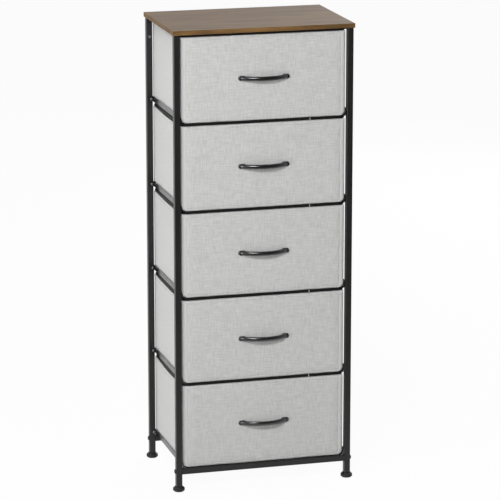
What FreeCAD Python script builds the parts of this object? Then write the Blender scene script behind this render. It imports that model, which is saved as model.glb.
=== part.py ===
import FreeCAD, Part
import math
import os
import re

import Sketcher
from FreeCAD import Rotation, Vector

# A chest of drawers: fabric drawers that slide in a tall frame of square steel tube.
# X runs across the front, Y from front to back, Z up. Everything is drawn about the middle
# of the frame, which is its own mirror image both ways, with the floor at Z = 0. At the end
# the pieces move a little in Y, so that the origin is midway between handles and back feet.

# The driving dimensions, in millimetres. Two are counts, drawer_count and foot_ribs, and
# handle_foot_draft is in degrees.

# Frame tube
frame_width = 444
frame_depth = 296
tube_side = 15
tube_wall = 1.2
tube_corner = 1.8
rail_bottom = 43
side_rail_inset = 33

# Top board
board_thick = 11
board_over_side = 3
board_over_front = 2
board_edge_round = 0.8

# Drawers
drawer_count = 5
front_height = 207
front_thick = 8
front_edge_round = 3
front_recess = 5
corner_round = 13
side_gap = 3.5
back_gap = 5
bin_wall = 2.5
rim_drop = 1
base_thick = 3
base_play = 1.5
run_gap = 0.3
head_gap = 0.5

# Rod rings between the drawers
rod_dia = 6.4
rod_bend = 12
ring_proud = 1.5

# Runners under the drawers' lower corners, and the lugs that hold them to the posts
runner_gap = 0.6
runner_rise = 18
runner_root = 5
runner_sole = 8
runner_setback = 2
lug_thick = 2
lug_low = 5
lug_high = 16
lug_overlap = 1.8
lug_reach = 8
lug_screw_in = 4
lug_screw_up = 10.5

# Angle brackets under the board
bracket_thick = 2
bracket_width = 12
bracket_drop = 57
bracket_reach = 30
bracket_screw_drop = 48
board_screw_in = 18
ear_height = 3

# Screws and bolts
screw_dia = 4
screw_length = 9
screw_head_dia = 7.6
screw_head_height = 2.4
screw_play = 0.15
bolt_dia = 6
bolt_length = 34
bolt_head_dia = 11
bolt_head_height = 3.6
rail_plug_length = 24

# Levelling feet and the plugs they screw into
foot_height = 12
foot_dia = 29
foot_floor_dia = 23
foot_neck_dia = 21
foot_belly_low = 3
foot_belly_high = 8
foot_ribs = 16
rib_dia = 2.2
stud_dia = 8
stud_length = 20
stud_play = 0.3
foot_plug_length = 26

# Bow handles
handle_length = 128
handle_span = 114
handle_rise = 20
handle_bar_height = 10
handle_bar_thick = 8
handle_foot_length = 27
handle_foot_height = 12.5
handle_foot_thick = 5
handle_foot_draft = 20
handle_hole_spacing = 96
handle_bore_depth = 6
handle_screw_length = 13

# They go into a sheet, one cell each, and every piece below is tied to those cells.

driving = {name: number for name, number in globals().items() if isinstance(number, (int, float))}
doc = FreeCAD.newDocument("chest_of_drawers")
sheet = doc.addObject("Spreadsheet::Sheet", "sizes")
for row, (name, number) in enumerate(driving.items(), 1):
    sheet.set(f"A{row}", name)
    sheet.set(f"B{row}", str(number))
    sheet.setAlias(f"B{row}", name)
doc.recompute()


# Lengths that follow from the ones above, as formulas for the sheet
POST_AXIS_X = "(frame_width / 2 - tube_side / 2)"
POST_AXIS_Y = "(frame_depth / 2 - tube_side / 2)"
POST_INSIDE_X = "(frame_width / 2 - tube_side)"
POST_INSIDE_Y = "(frame_depth / 2 - tube_side)"
RAIL_AXIS_Z = "(rail_bottom + tube_side / 2)"
PITCH = "(front_height + head_gap + rod_dia + run_gap)"
BOARD_UNDER = f"(rail_bottom + tube_side + drawer_count * {PITCH})"
FIRST_DRAWER = "(rail_bottom + tube_side + run_gap)"
FRONT_FACE = "(frame_depth / 2 - front_recess)"
FRONT_WIDTH = f"(2 * {POST_INSIDE_X} - 2 * side_gap)"
BIN_DEPTH = "(frame_depth - front_recess - front_thick - back_gap)"
RIM_HEIGHT = "(front_height - rim_drop)"
RING_WIDTH = f"({FRONT_WIDTH} + 2 * ring_proud)"
LUG_SCREW_X = f"({POST_INSIDE_X} + lug_screw_in)"
FOOT_REACH = f"({POST_AXIS_Y} + foot_dia / 2)"
HANDLE_RADIUS = "((handle_span ^ 2 / 4 + handle_rise ^ 2) / (2 * handle_rise))"
HANDLE_FOOT_X = "((handle_length - handle_foot_length) / 2)"
HANDLE_REACH = f"({FRONT_FACE} + handle_rise + handle_bar_thick / 2)"


def cells(formula):
    """Write a formula's size names as references to the sheet."""
    return re.sub(r"[a-z_]+", lambda word: "sizes." + word[0] if word[0] in driving else word[0], formula)


def value(formula):
    """The number that a formula gives now."""
    return float(sheet.evalExpression(cells(formula)))


def bind(thing, path, formula):
    """Tie one property of an object to the sheet."""
    thing.setExpression(path, cells(formula))


# Sketch helpers

def new_body(label):
    body = doc.addObject("PartDesign::Body", label)
    body.Label = label
    return body


def origin_plane(body, role):
    return next(item for item in body.Origin.OriginFeatures if item.Role == role)


def new_sketch(body, role, name, offset=None):
    """A sketch on one of the body's own planes, moved along the plane's normal by a formula."""
    sketch = body.newObject("Sketcher::SketchObject", name)
    sketch.AttachmentSupport = [(origin_plane(body, role), "")]
    sketch.MapMode = "FlatFace"
    if offset:
        bind(sketch, "AttachmentOffset.Base.z", offset)
    return sketch


def hold(sketch, name, formula, kind, *where):
    """Add a dimension to a sketch and tie it to the sheet."""
    index = sketch.addConstraint(Sketcher.Constraint(kind, *where, value(formula)))
    sketch.renameConstraint(index, name)
    bind(sketch, "Constraints." + name, formula)


def fix(sketch, kind, *where):
    """Add a constraint that has no size."""
    sketch.addConstraint(Sketcher.Constraint(kind, *where))


def line(sketch, start, end):
    return sketch.addGeometry(Part.LineSegment(Vector(*start, 0), Vector(*end, 0)), False)


def arc(sketch, centre, radius, start, end):
    circle = Part.Circle(Vector(*centre, 0), Vector(0, 0, 1), radius)
    return sketch.addGeometry(Part.ArcOfCircle(circle, start, end), False)


def rounded_square(sketch, name, side, radius):
    """A square with equal corner arcs, centred on the sketch's origin."""
    half = value(side) / 2
    bend = value(radius)
    flat = half - bend
    quarter = math.pi / 2
    south = line(sketch, (-flat, -half), (flat, -half))
    arc(sketch, (flat, -flat), bend, -quarter, 0)
    east = line(sketch, (half, -flat), (half, flat))
    arc(sketch, (flat, flat), bend, 0, quarter)
    north = line(sketch, (flat, half), (-flat, half))
    arc(sketch, (-flat, flat), bend, quarter, 2 * quarter)
    west = line(sketch, (-half, flat), (-half, -flat))
    last = arc(sketch, (-flat, -flat), bend, 2 * quarter, 3 * quarter)
    for edge in (south, east, north, west):
        after = south if edge == west else edge + 2
        fix(sketch, "Tangent", edge, 2, edge + 1, 1)
        fix(sketch, "Tangent", edge + 1, 2, after, 1)
    for bend_before in (south + 1, east + 1, north + 1):
        fix(sketch, "Equal", bend_before, last)
    fix(sketch, "Horizontal", north)
    fix(sketch, "Vertical", west)
    fix(sketch, "Symmetric", south, 1, south, 2, -2)
    fix(sketch, "Symmetric", east, 1, east, 2, -1)
    hold(sketch, name + "_radius", radius, "Radius", last)
    hold(sketch, name + "_across", side, "DistanceX", west, 1, east, 1)
    hold(sketch, name + "_along", side, "DistanceY", south, 1, north, 1)


def rectangle(sketch, left, right, low, high):
    """A rectangle by its four edges, each a formula measured from the sketch's axes."""
    x1, x2, y1, y2 = (value(edge) for edge in (left, right, low, high))
    south = line(sketch, (x1, y1), (x2, y1))
    east = line(sketch, (x2, y1), (x2, y2))
    north = line(sketch, (x2, y2), (x1, y2))
    west = line(sketch, (x1, y2), (x1, y1))
    for edge in (south, east, north):
        fix(sketch, "Coincident", edge, 2, edge + 1, 1)
    fix(sketch, "Coincident", west, 2, south, 1)
    for edge in (south, north):
        fix(sketch, "Horizontal", edge)
    for edge in (east, west):
        fix(sketch, "Vertical", edge)
    hold(sketch, "left", left, "DistanceX", -1, 1, south, 1)
    hold(sketch, "right", right, "DistanceX", -1, 1, east, 2)
    hold(sketch, "low", low, "DistanceY", -1, 1, south, 1)
    hold(sketch, "high", high, "DistanceY", -1, 1, east, 2)


def round_hole(sketch, name, across, along, diameter):
    """A circle at two formulas from the sketch's origin; None lies on that axis."""
    centre = [value(place) if place else 0 for place in (across, along)]
    circle = Part.Circle(Vector(*centre, 0), Vector(0, 0, 1), value(diameter) / 2)
    index = sketch.addGeometry(circle, False)
    if across:
        hold(sketch, name + "_across", across, "DistanceX", -1, 1, index, 3)
    else:
        fix(sketch, "PointOnObject", index, 3, -2)
    if along:
        hold(sketch, name + "_along", along, "DistanceY", -1, 1, index, 3)
    else:
        fix(sketch, "PointOnObject", index, 3, -1)
    hold(sketch, name + "_diameter", diameter, "Diameter", index)


def tub_outline(sketch, width, height, radius, floor):
    """The outline of a drawer seen from the front: square above, rounded below."""
    half = value(width) / 2
    top = value(height)
    bend = value(radius)
    low = value(floor)
    flat = half - bend
    quarter = math.pi / 2
    south = line(sketch, (-flat, low), (flat, low))
    right_bend = arc(sketch, (flat, low + bend), bend, -quarter, 0)
    east = line(sketch, (half, low + bend), (half, top))
    north = line(sketch, (half, top), (-half, top))
    west = line(sketch, (-half, top), (-half, low + bend))
    left_bend = arc(sketch, (-flat, low + bend), bend, 2 * quarter, 3 * quarter)
    fix(sketch, "Tangent", south, 2, right_bend, 1)
    fix(sketch, "Tangent", right_bend, 2, east, 1)
    fix(sketch, "Coincident", east, 2, north, 1)
    fix(sketch, "Coincident", north, 2, west, 1)
    fix(sketch, "Tangent", west, 2, left_bend, 1)
    fix(sketch, "Tangent", left_bend, 2, south, 1)
    fix(sketch, "Symmetric", north, 1, north, 2, -2)
    fix(sketch, "Equal", right_bend, left_bend)
    fix(sketch, "Vertical", east)
    fix(sketch, "Vertical", west)
    fix(sketch, "Horizontal", south)
    hold(sketch, "bend", radius, "Radius", right_bend)
    hold(sketch, "across", width, "DistanceX", north, 2, north, 1)
    hold(sketch, "top", height, "DistanceY", -1, 1, north, 1)
    if value(floor):
        hold(sketch, "floor", floor, "DistanceY", -1, 1, south, 1)
    else:
        fix(sketch, "PointOnObject", south, 1, -1)


def pad(body, sketch, length, reverse=False, middle=False):
    feature = body.newObject("PartDesign::Pad", sketch.Name + "_pad")
    feature.Profile = sketch
    feature.Reversed = reverse
    feature.Midplane = middle
    bind(feature, "Length", length)
    return feature


def pocket(body, sketch, depth=None, reverse=False, middle=False):
    """A cut to a depth, or right through where no depth is given."""
    feature = body.newObject("PartDesign::Pocket", sketch.Name + "_cut")
    feature.Profile = sketch
    feature.Reversed = reverse
    feature.Midplane = middle
    if depth:
        bind(feature, "Length", depth)
    else:
        feature.Type = "ThroughAll"
    return feature


def soften(body, label, radius, chosen):
    """Round those edges of the body so far that a test picks out."""
    doc.recompute()
    before = body.Tip
    edges = [f"Edge{number}" for number, edge in enumerate(before.Shape.Edges, 1) if chosen(edge)]
    fillet = body.newObject("PartDesign::Fillet", label)
    fillet.Base = (before, edges)
    bind(fillet, "Radius", radius)
    body.Tip = fillet


def place(thing, x=None, y=None, z=None):
    """Tie an object's place to the sheet."""
    for axis, formula in (("x", x), ("y", y), ("z", z)):
        if formula:
            bind(thing, "Placement.Base." + axis, formula)


def mirrored(source, label, normal):
    """The mirror image of a piece in a plane through the origin."""
    image = doc.addObject("Part::Mirroring", label)
    image.Label = label
    image.Source = source
    image.Normal = normal
    return image


def four_corners(source):
    """A piece of the front right corner together with its images at the other corners."""
    left = mirrored(source, source.Name + "_left", Vector(1, 0, 0))
    back = mirrored(source, source.Name + "_back", Vector(0, 1, 0))
    back_left = mirrored(left, source.Name + "_back_left", Vector(0, 1, 0))
    return [source, left, back, back_left]


def group(label, members, lift=None):
    """Separate solids that share one node."""
    compound = doc.addObject("Part::Compound", label)
    compound.Label = label
    compound.Links = members
    place(compound, z=lift)
    return compound


pieces = []


def keep(*things):
    """Mark objects as pieces of the finished chest."""
    pieces.extend(things)


# Square tube: posts and bottom rails

def tube(sketch):
    rounded_square(sketch, "outside", "tube_side", "tube_corner")
    rounded_square(sketch, "inside", "tube_side - 2 * tube_wall", "tube_corner - tube_wall")


def make_post(label):
    body = new_body(label)
    section = new_sketch(body, "XY_Plane", label + "_section")
    tube(section)
    pad(body, section, f"{BOARD_UNDER} - foot_height")

    bolt_hole = new_sketch(body, "YZ_Plane", label + "_bolt_hole")
    round_hole(bolt_hole, "bolt", None, f"{RAIL_AXIS_Z} - foot_height", "bolt_dia + 2 * screw_play")
    pocket(body, bolt_hole, middle=True)

    bracket_hole = new_sketch(body, "XZ_Plane", label + "_bracket_hole")
    round_hole(bracket_hole, "screw", None, f"{BOARD_UNDER} - bracket_screw_drop - foot_height",
               "screw_dia + 2 * screw_play")
    pocket(body, bracket_hole)

    runner_hole = new_sketch(body, "XZ_Plane", label + "_runner_hole")
    round_hole(runner_hole, "screw", "lug_screw_in - tube_side / 2",
               f"{FIRST_DRAWER} + lug_screw_up - foot_height", "screw_dia + 2 * screw_play")
    first_hole = pocket(body, runner_hole)
    holes = body.newObject("PartDesign::LinearPattern", label + "_runner_holes")
    holes.Originals = [first_hole]
    holes.Direction = (runner_hole, ["V_Axis"])
    bind(holes, "Length", f"{PITCH} * (drawer_count - 1)")
    bind(holes, "Occurrences", "drawer_count")
    body.Tip = holes
    place(body, POST_AXIS_X, f"-{POST_AXIS_Y}", "foot_height")
    return body


post = make_post("post_front_right")
post_left = mirrored(post, "post_front_left", Vector(1, 0, 0))
keep(post, post_left)
keep(mirrored(post, "post_back_right", Vector(0, 1, 0)))
keep(mirrored(post_left, "post_back_left", Vector(0, 1, 0)))

front_rail = new_body("rail_front")
front_section = new_sketch(front_rail, "YZ_Plane", "rail_front_section")
tube(front_section)
pad(front_rail, front_section, f"2 * {POST_INSIDE_X}", middle=True)
place(front_rail, y=f"-{POST_AXIS_Y}", z=RAIL_AXIS_Z)
keep(front_rail, mirrored(front_rail, "rail_back", Vector(0, 1, 0)))

right_rail = new_body("rail_right")
right_section = new_sketch(right_rail, "XZ_Plane", "rail_right_section")
tube(right_section)
pad(right_rail, right_section, f"2 * {POST_INSIDE_Y}", middle=True)
place(right_rail, x="frame_width / 2 - side_rail_inset - tube_side / 2", z=RAIL_AXIS_Z)
keep(right_rail, mirrored(right_rail, "rail_left", Vector(1, 0, 0)))


# Plugs in the tube ends

def make_plug(label, plane, bore, length):
    body = new_body(label)
    section = new_sketch(body, plane, label + "_section")
    rounded_square(section, "outside", "tube_side - 2 * tube_wall", "tube_corner - tube_wall")
    round_hole(section, "bore", None, None, bore)
    pad(body, section, length)
    return body


foot_plug = make_plug("foot_plug", "XY_Plane", "stud_dia + 2 * stud_play", "foot_plug_length")
place(foot_plug, POST_AXIS_X, f"-{POST_AXIS_Y}", "foot_height")
keep(group("foot_plugs", four_corners(foot_plug)))

rail_plug = make_plug("rail_plug", "YZ_Plane", "bolt_dia + 2 * screw_play", "rail_plug_length")
place(rail_plug, f"{POST_INSIDE_X} - rail_plug_length", f"-{POST_AXIS_Y}", RAIL_AXIS_Z)
keep(group("rail_plugs", four_corners(rail_plug)))


# Screws and bolts: a domed head on a plain shank, turned about the local Z axis

def make_screw(label, shank_dia, shank_length, head_dia, head_height):
    body = new_body(label)
    half = new_sketch(body, "XZ_Plane", label + "_half")
    shank = value(shank_dia) / 2
    length = value(shank_length)
    rim = value(head_dia) / 2
    crown = value(head_height)
    dome = (rim ** 2 + crown ** 2) / (2 * crown)
    tip = line(half, (0, -length), (shank, -length))
    side = line(half, (shank, -length), (shank, 0))
    under = line(half, (shank, 0), (rim, 0))
    top = arc(half, (0, crown - dome), dome, math.acos(rim / dome), math.pi / 2)
    core = line(half, (0, crown), (0, -length))
    fix(half, "Coincident", tip, 2, side, 1)
    fix(half, "Coincident", side, 2, under, 1)
    fix(half, "Coincident", under, 2, top, 1)
    fix(half, "Coincident", top, 2, core, 1)
    fix(half, "Coincident", core, 2, tip, 1)
    fix(half, "Horizontal", tip)
    fix(half, "Horizontal", under)
    fix(half, "Vertical", side)
    fix(half, "Vertical", core)
    fix(half, "PointOnObject", core, 1, -2)
    fix(half, "PointOnObject", top, 3, -2)
    fix(half, "PointOnObject", under, 1, -1)
    hold(half, "shank", f"({shank_dia}) / 2", "DistanceX", -1, 1, side, 1)
    hold(half, "length", shank_length, "DistanceY", tip, 1, -1, 1)
    hold(half, "rim", f"({head_dia}) / 2", "DistanceX", -1, 1, under, 2)
    hold(half, "crown", head_height, "DistanceY", -1, 1, core, 1)
    turned = body.newObject("PartDesign::Revolution", label + "_turned")
    turned.Profile = half
    turned.ReferenceAxis = (half, ["V_Axis"])
    turned.Angle = 360
    return body


TOWARD_BACK = Rotation(Vector(1, 0, 0), -90)
TOWARD_RIGHT = Rotation(Vector(0, 1, 0), 90)
DOWNWARD = Rotation(Vector(1, 0, 0), 180)

rail_bolt = make_screw("rail_bolt", "bolt_dia", "bolt_length", "bolt_head_dia", "bolt_head_height")
rail_bolt.Placement.Rotation = TOWARD_RIGHT
place(rail_bolt, "frame_width / 2", f"-{POST_AXIS_Y}", RAIL_AXIS_Z)
keep(group("rail_bolts", four_corners(rail_bolt)))


# Rings of bent rod: one under each upper drawer and one under the board

def make_ring(label, height):
    body = new_body(label)
    route = new_sketch(body, "XY_Plane", label + "_route")
    half_x = (value(RING_WIDTH) - value("rod_dia")) / 2
    half_y = value(FRONT_FACE) - value("rod_dia") / 2
    bend = value("rod_bend")
    x, y = half_x - bend, half_y - bend
    quarter = math.pi / 2
    south = line(route, (0, -half_y), (x, -half_y))
    arc(route, (x, -y), bend, -quarter, 0)
    east = line(route, (half_x, -y), (half_x, y))
    arc(route, (x, y), bend, 0, quarter)
    north = line(route, (x, half_y), (-x, half_y))
    arc(route, (-x, y), bend, quarter, 2 * quarter)
    west = line(route, (-half_x, y), (-half_x, -y))
    last = arc(route, (-x, -y), bend, 2 * quarter, 3 * quarter)
    close = line(route, (-x, -half_y), (0, -half_y))
    for edge in (south, east, north, west):
        fix(route, "Tangent", edge, 2, edge + 1, 1)
        fix(route, "Tangent", edge + 1, 2, edge + 2, 1)
    fix(route, "Coincident", close, 2, south, 1)
    for bend_before in (south + 1, east + 1, north + 1):
        fix(route, "Equal", bend_before, last)
    fix(route, "Horizontal", south)
    fix(route, "Horizontal", close)
    fix(route, "PointOnObject", south, 1, -2)
    fix(route, "Symmetric", north, 1, north, 2, -2)
    fix(route, "Symmetric", east, 1, east, 2, -1)
    fix(route, "Vertical", west)
    hold(route, "bend", "rod_bend", "Radius", last)
    hold(route, "across", f"{RING_WIDTH} - rod_dia", "DistanceX", west, 1, east, 1)
    hold(route, "along", f"2 * {FRONT_FACE} - rod_dia", "DistanceY", south, 1, north, 1)

    rod = new_sketch(body, "YZ_Plane", label + "_rod")
    round_hole(rod, "rod", f"rod_dia / 2 - {FRONT_FACE}", None, "rod_dia")
    sweep = body.newObject("PartDesign::AdditivePipe", label + "_sweep")
    sweep.Profile = rod
    sweep.Spine = (route, [f"Edge{number + 1}" for number in range(route.GeometryCount)])
    place(body, z=height)
    return body


drawers = int(value("drawer_count"))
for drawer in range(1, drawers):
    lift = f"{FIRST_DRAWER} + {drawers - drawer} * {PITCH} - run_gap - rod_dia / 2"
    keep(make_ring(f"ring_{drawer}", lift))
top_ring = make_ring("ring_top", f"{BOARD_UNDER} - rod_dia / 2")
keep(top_ring)


# Runners: strips from front post to back post, hollowed so that a drawer's lower corner slides in them

def make_runner(label):
    body = new_body(label)
    strip = new_sketch(body, "XZ_Plane", label + "_strip")
    centre_x = f"{FRONT_WIDTH} / 2 - corner_round"
    hollow = "corner_round + runner_gap"
    cx, cz = value(centre_x), value("corner_round")
    bend, low = value(hollow), value("run_gap")
    post_x, rise, root = value(POST_INSIDE_X), value("runner_rise"), value("runner_root")
    lip = cx + math.sqrt(bend ** 2 - (cz + low) ** 2)
    sole_end = lip + value("runner_sole")
    hug = arc(strip, (cx, cz), bend, -math.asin((cz + low) / bend), 0)
    slope = line(strip, (cx + bend, cz), (post_x, rise))
    seat = line(strip, (post_x, rise), (post_x, root))
    arm = line(strip, (post_x, root), (sole_end, -low))
    sole = line(strip, (sole_end, -low), (lip, -low))
    fix(strip, "Coincident", hug, 2, slope, 1)
    fix(strip, "Coincident", slope, 2, seat, 1)
    fix(strip, "Coincident", seat, 2, arm, 1)
    fix(strip, "Coincident", arm, 2, sole, 1)
    fix(strip, "Coincident", sole, 2, hug, 1)
    fix(strip, "Vertical", seat)
    fix(strip, "Horizontal", sole)
    fix(strip, "Horizontal", hug, 3, hug, 2)
    hold(strip, "centre_across", centre_x, "DistanceX", -1, 1, hug, 3)
    hold(strip, "centre_up", "corner_round", "DistanceY", -1, 1, hug, 3)
    hold(strip, "hollow", hollow, "Radius", hug)
    hold(strip, "sole_low", "run_gap", "DistanceY", sole, 1, -1, 1)
    hold(strip, "sole_width", "runner_sole", "DistanceX", sole, 2, sole, 1)
    hold(strip, "post_side", POST_INSIDE_X, "DistanceX", -1, 1, seat, 1)
    hold(strip, "rise", "runner_rise", "DistanceY", -1, 1, seat, 1)
    hold(strip, "root", "runner_root", "DistanceY", -1, 1, seat, 2)
    pad(body, strip, "frame_depth - 2 * runner_setback", middle=True)

    for end, wall, at_front in (("front", POST_INSIDE_Y, True), ("back", f"-{POST_INSIDE_Y}", False)):
        lug = new_sketch(body, "XZ_Plane", f"{label}_{end}_lug", wall)
        rectangle(lug, f"{POST_INSIDE_X} - lug_overlap", f"{POST_INSIDE_X} + lug_reach", "lug_low", "lug_high")
        pad(body, lug, "lug_thick", reverse=at_front)
        screw_hole = new_sketch(body, "XZ_Plane", f"{label}_{end}_screw_hole", wall)
        round_hole(screw_hole, "screw", LUG_SCREW_X, "lug_screw_up", "screw_dia + 2 * screw_play")
        pocket(body, screw_hole, "lug_thick", reverse=not at_front)
    return body


right_runner = make_runner("runner")
runner_pair = [right_runner, mirrored(right_runner, "runner_left", Vector(1, 0, 0))]
runner_screw = make_screw("runner_screw", "screw_dia", "screw_length", "screw_head_dia", "screw_head_height")
runner_screw.Placement.Rotation = TOWARD_BACK
place(runner_screw, LUG_SCREW_X, f"lug_thick - {POST_INSIDE_Y}", "lug_screw_up")
screw_corners = four_corners(runner_screw)
screw_levels = []
for drawer in range(1, drawers + 1):
    lift = f"{FIRST_DRAWER} + {drawers - drawer} * {PITCH}"
    keep(group(f"runners_{drawer}", runner_pair, lift))
    screw_levels.append(group(f"runner_screws_{drawer}", screw_corners, lift))
keep(group("runner_screws", screw_levels))


# Angle brackets: upright against the post, flat under the board, with an ear that meets the top ring

def make_bracket(label):
    body = new_body(label)
    left = f"{POST_AXIS_X} - bracket_width / 2"
    right = f"{POST_AXIS_X} + bracket_width / 2"
    upright = new_sketch(body, "XZ_Plane", label + "_upright", POST_INSIDE_Y)
    rectangle(upright, left, right, f"{BOARD_UNDER} - bracket_drop", BOARD_UNDER)
    pad(body, upright, "bracket_thick", reverse=True)

    flat = new_sketch(body, "XY_Plane", label + "_flat", f"{BOARD_UNDER} - bracket_thick")
    rectangle(flat, left, right, f"-{POST_INSIDE_Y}", f"bracket_reach - {POST_INSIDE_Y}")
    pad(body, flat, "bracket_thick")

    ear = new_sketch(body, "XZ_Plane", label + "_ear", POST_INSIDE_Y)
    rectangle(ear, f"{RING_WIDTH} / 2 - rod_dia / 2", right,
              f"{BOARD_UNDER} - rod_dia / 2 - ear_height / 2", f"{BOARD_UNDER} - rod_dia / 2 + ear_height / 2")
    pad(body, ear, "bracket_thick", reverse=True)

    post_hole = new_sketch(body, "XZ_Plane", label + "_post_hole", POST_INSIDE_Y)
    round_hole(post_hole, "screw", POST_AXIS_X, f"{BOARD_UNDER} - bracket_screw_drop",
               "screw_dia + 2 * screw_play")
    pocket(body, post_hole, "bracket_thick")

    board_hole = new_sketch(body, "XY_Plane", label + "_board_hole", BOARD_UNDER)
    round_hole(board_hole, "screw", POST_AXIS_X, f"board_screw_in - {POST_INSIDE_Y}",
               "screw_dia + 2 * screw_play")
    pocket(body, board_hole, "bracket_thick")
    return body


bracket = doc.addObject("Part::Cut", "bracket_on_ring")
bracket.Base = make_bracket("bracket")
bracket.Tool = top_ring
keep(group("top_brackets", four_corners(bracket)))

bracket_screw = make_screw("bracket_screw", "screw_dia", "screw_length", "screw_head_dia", "screw_head_height")
bracket_screw.Placement.Rotation = TOWARD_BACK
place(bracket_screw, POST_AXIS_X, f"bracket_thick - {POST_INSIDE_Y}", f"{BOARD_UNDER} - bracket_screw_drop")
keep(group("bracket_screws", four_corners(bracket_screw)))

board_screw = make_screw("board_screw", "screw_dia", "screw_length", "screw_head_dia", "screw_head_height")
board_screw.Placement.Rotation = DOWNWARD
place(board_screw, POST_AXIS_X, f"board_screw_in - {POST_INSIDE_Y}", f"{BOARD_UNDER} - bracket_thick")
keep(group("board_screws", four_corners(board_screw)))


# Top board, with blind holes for the bracket screws

board = new_body("top_board")
board_outline = new_sketch(board, "XY_Plane", "top_board_outline")
half_width = "(frame_width / 2 + board_over_side)"
half_depth = "(frame_depth / 2 + board_over_front)"
rectangle(board_outline, f"-{half_width}", half_width, f"-{half_depth}", half_depth)
pad(board, board_outline, "board_thick")
board_holes = new_sketch(board, "XY_Plane", "top_board_holes")
hole_y = f"({POST_INSIDE_Y} - board_screw_in)"
for corner, across, along in (("front_right", "", "-"), ("front_left", "-", "-"),
                              ("back_right", "", ""), ("back_left", "-", "")):
    round_hole(board_holes, corner, across + POST_AXIS_X, along + hole_y, "screw_dia + 2 * screw_play")
pocket(board, board_holes, "screw_length - bracket_thick + screw_play", reverse=True)
soften(board, "top_board_edges", "board_edge_round", lambda edge: isinstance(edge.Curve, Part.Line))
place(board, z=BOARD_UNDER)
keep(board)


# Levelling feet: a turned glide with a ribbed belly and a stud

def make_foot(label):
    body = new_body(label)
    half = new_sketch(body, "XZ_Plane", label + "_half")
    sole, belly, neck, stud = (value(name) / 2 for name in
                               ("foot_floor_dia", "foot_dia", "foot_neck_dia", "stud_dia"))
    low, high, top = (value(name) for name in ("foot_belly_low", "foot_belly_high", "foot_height"))
    tall = top + value("stud_length")
    outline = [(0, 0), (sole, 0), (belly, low), (belly, high), (neck, top), (stud, top), (stud, tall), (0, tall)]
    edges = [line(half, start, end) for start, end in zip(outline, outline[1:] + outline[:1])]
    for edge, after in zip(edges, edges[1:] + edges[:1]):
        fix(half, "Coincident", edge, 2, after, 1)
    floor, flare, side, shoulder, ledge, shank, tip, core = edges
    for edge in (floor, ledge, tip):
        fix(half, "Horizontal", edge)
    for edge in (side, shank, core):
        fix(half, "Vertical", edge)
    fix(half, "Coincident", floor, 1, -1, 1)
    hold(half, "sole", "foot_floor_dia / 2", "DistanceX", floor, 1, floor, 2)
    hold(half, "belly", "foot_dia / 2", "DistanceX", floor, 1, side, 1)
    hold(half, "belly_low", "foot_belly_low", "DistanceY", floor, 1, side, 1)
    hold(half, "belly_high", "foot_belly_high", "DistanceY", floor, 1, side, 2)
    hold(half, "neck", "foot_neck_dia / 2", "DistanceX", floor, 1, ledge, 1)
    hold(half, "top", "foot_height", "DistanceY", floor, 1, ledge, 1)
    hold(half, "stud", "stud_dia / 2", "DistanceX", floor, 1, shank, 1)
    hold(half, "stud_top", "foot_height + stud_length", "DistanceY", floor, 1, shank, 2)
    turned = body.newObject("PartDesign::Revolution", label + "_turned")
    turned.Profile = half
    turned.ReferenceAxis = (half, ["V_Axis"])
    turned.Angle = 360

    flute = new_sketch(body, "XY_Plane", label + "_flute", "foot_height")
    round_hole(flute, "flute", "foot_dia / 2", None, "rib_dia")
    first_flute = pocket(body, flute, "foot_height")
    flutes = body.newObject("PartDesign::PolarPattern", label + "_flutes")
    flutes.Originals = [first_flute]
    flutes.Axis = (flute, ["N_Axis"])
    flutes.Angle = 360
    bind(flutes, "Occurrences", "foot_ribs")
    body.Tip = flutes
    place(body, POST_AXIS_X, f"-{POST_AXIS_Y}")
    return body


foot = make_foot("foot_front_right")
foot_left = mirrored(foot, "foot_front_left", Vector(1, 0, 0))
keep(foot, foot_left)
keep(mirrored(foot, "foot_back_right", Vector(0, 1, 0)))
keep(mirrored(foot_left, "foot_back_left", Vector(0, 1, 0)))


# Drawers. A drawer's own origin is at the middle of the lower edge of its front face.

def make_front(label):
    """The padded front panel, soft along the front edges, with two holes for the handle's screws."""
    body = new_body(label)
    outline = new_sketch(body, "XZ_Plane", label + "_outline")
    tub_outline(outline, FRONT_WIDTH, "front_height", "corner_round", "0")
    pad(body, outline, "front_thick", reverse=True)
    holes = new_sketch(body, "XZ_Plane", label + "_holes")
    round_hole(holes, "right", "handle_hole_spacing / 2", "front_height / 2", "screw_dia + 2 * screw_play")
    round_hole(holes, "left", "-handle_hole_spacing / 2", "front_height / 2", "screw_dia + 2 * screw_play")
    pocket(body, holes, "front_thick")
    soften(body, label + "_soft_edges", "front_edge_round",
           lambda edge: edge.BoundBox.YMax < 1e-6 and not edge.isClosed())
    return body


def make_bin(label):
    """The fabric box behind the front panel: floor, two sides and a back, open above."""
    body = new_body(label)
    outside = new_sketch(body, "XZ_Plane", label + "_outside", "-front_thick")
    tub_outline(outside, FRONT_WIDTH, RIM_HEIGHT, "corner_round", "0")
    pad(body, outside, BIN_DEPTH, reverse=True)
    inside = new_sketch(body, "XZ_Plane", label + "_inside", "-front_thick")
    tub_outline(inside, f"{FRONT_WIDTH} - 2 * bin_wall", f"{RIM_HEIGHT} + bin_wall",
                "corner_round - bin_wall", "bin_wall")
    pocket(body, inside, f"{BIN_DEPTH} - bin_wall")
    return body


def make_base(label):
    """The loose board that lies on the floor of the fabric box."""
    base = doc.addObject("Part::Box", label)
    base.Label = label
    bind(base, "Length", f"{FRONT_WIDTH} - 2 * corner_round - 2 * base_play")
    bind(base, "Width", f"{BIN_DEPTH} - bin_wall - 2 * base_play")
    bind(base, "Height", "base_thick")
    return base


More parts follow.
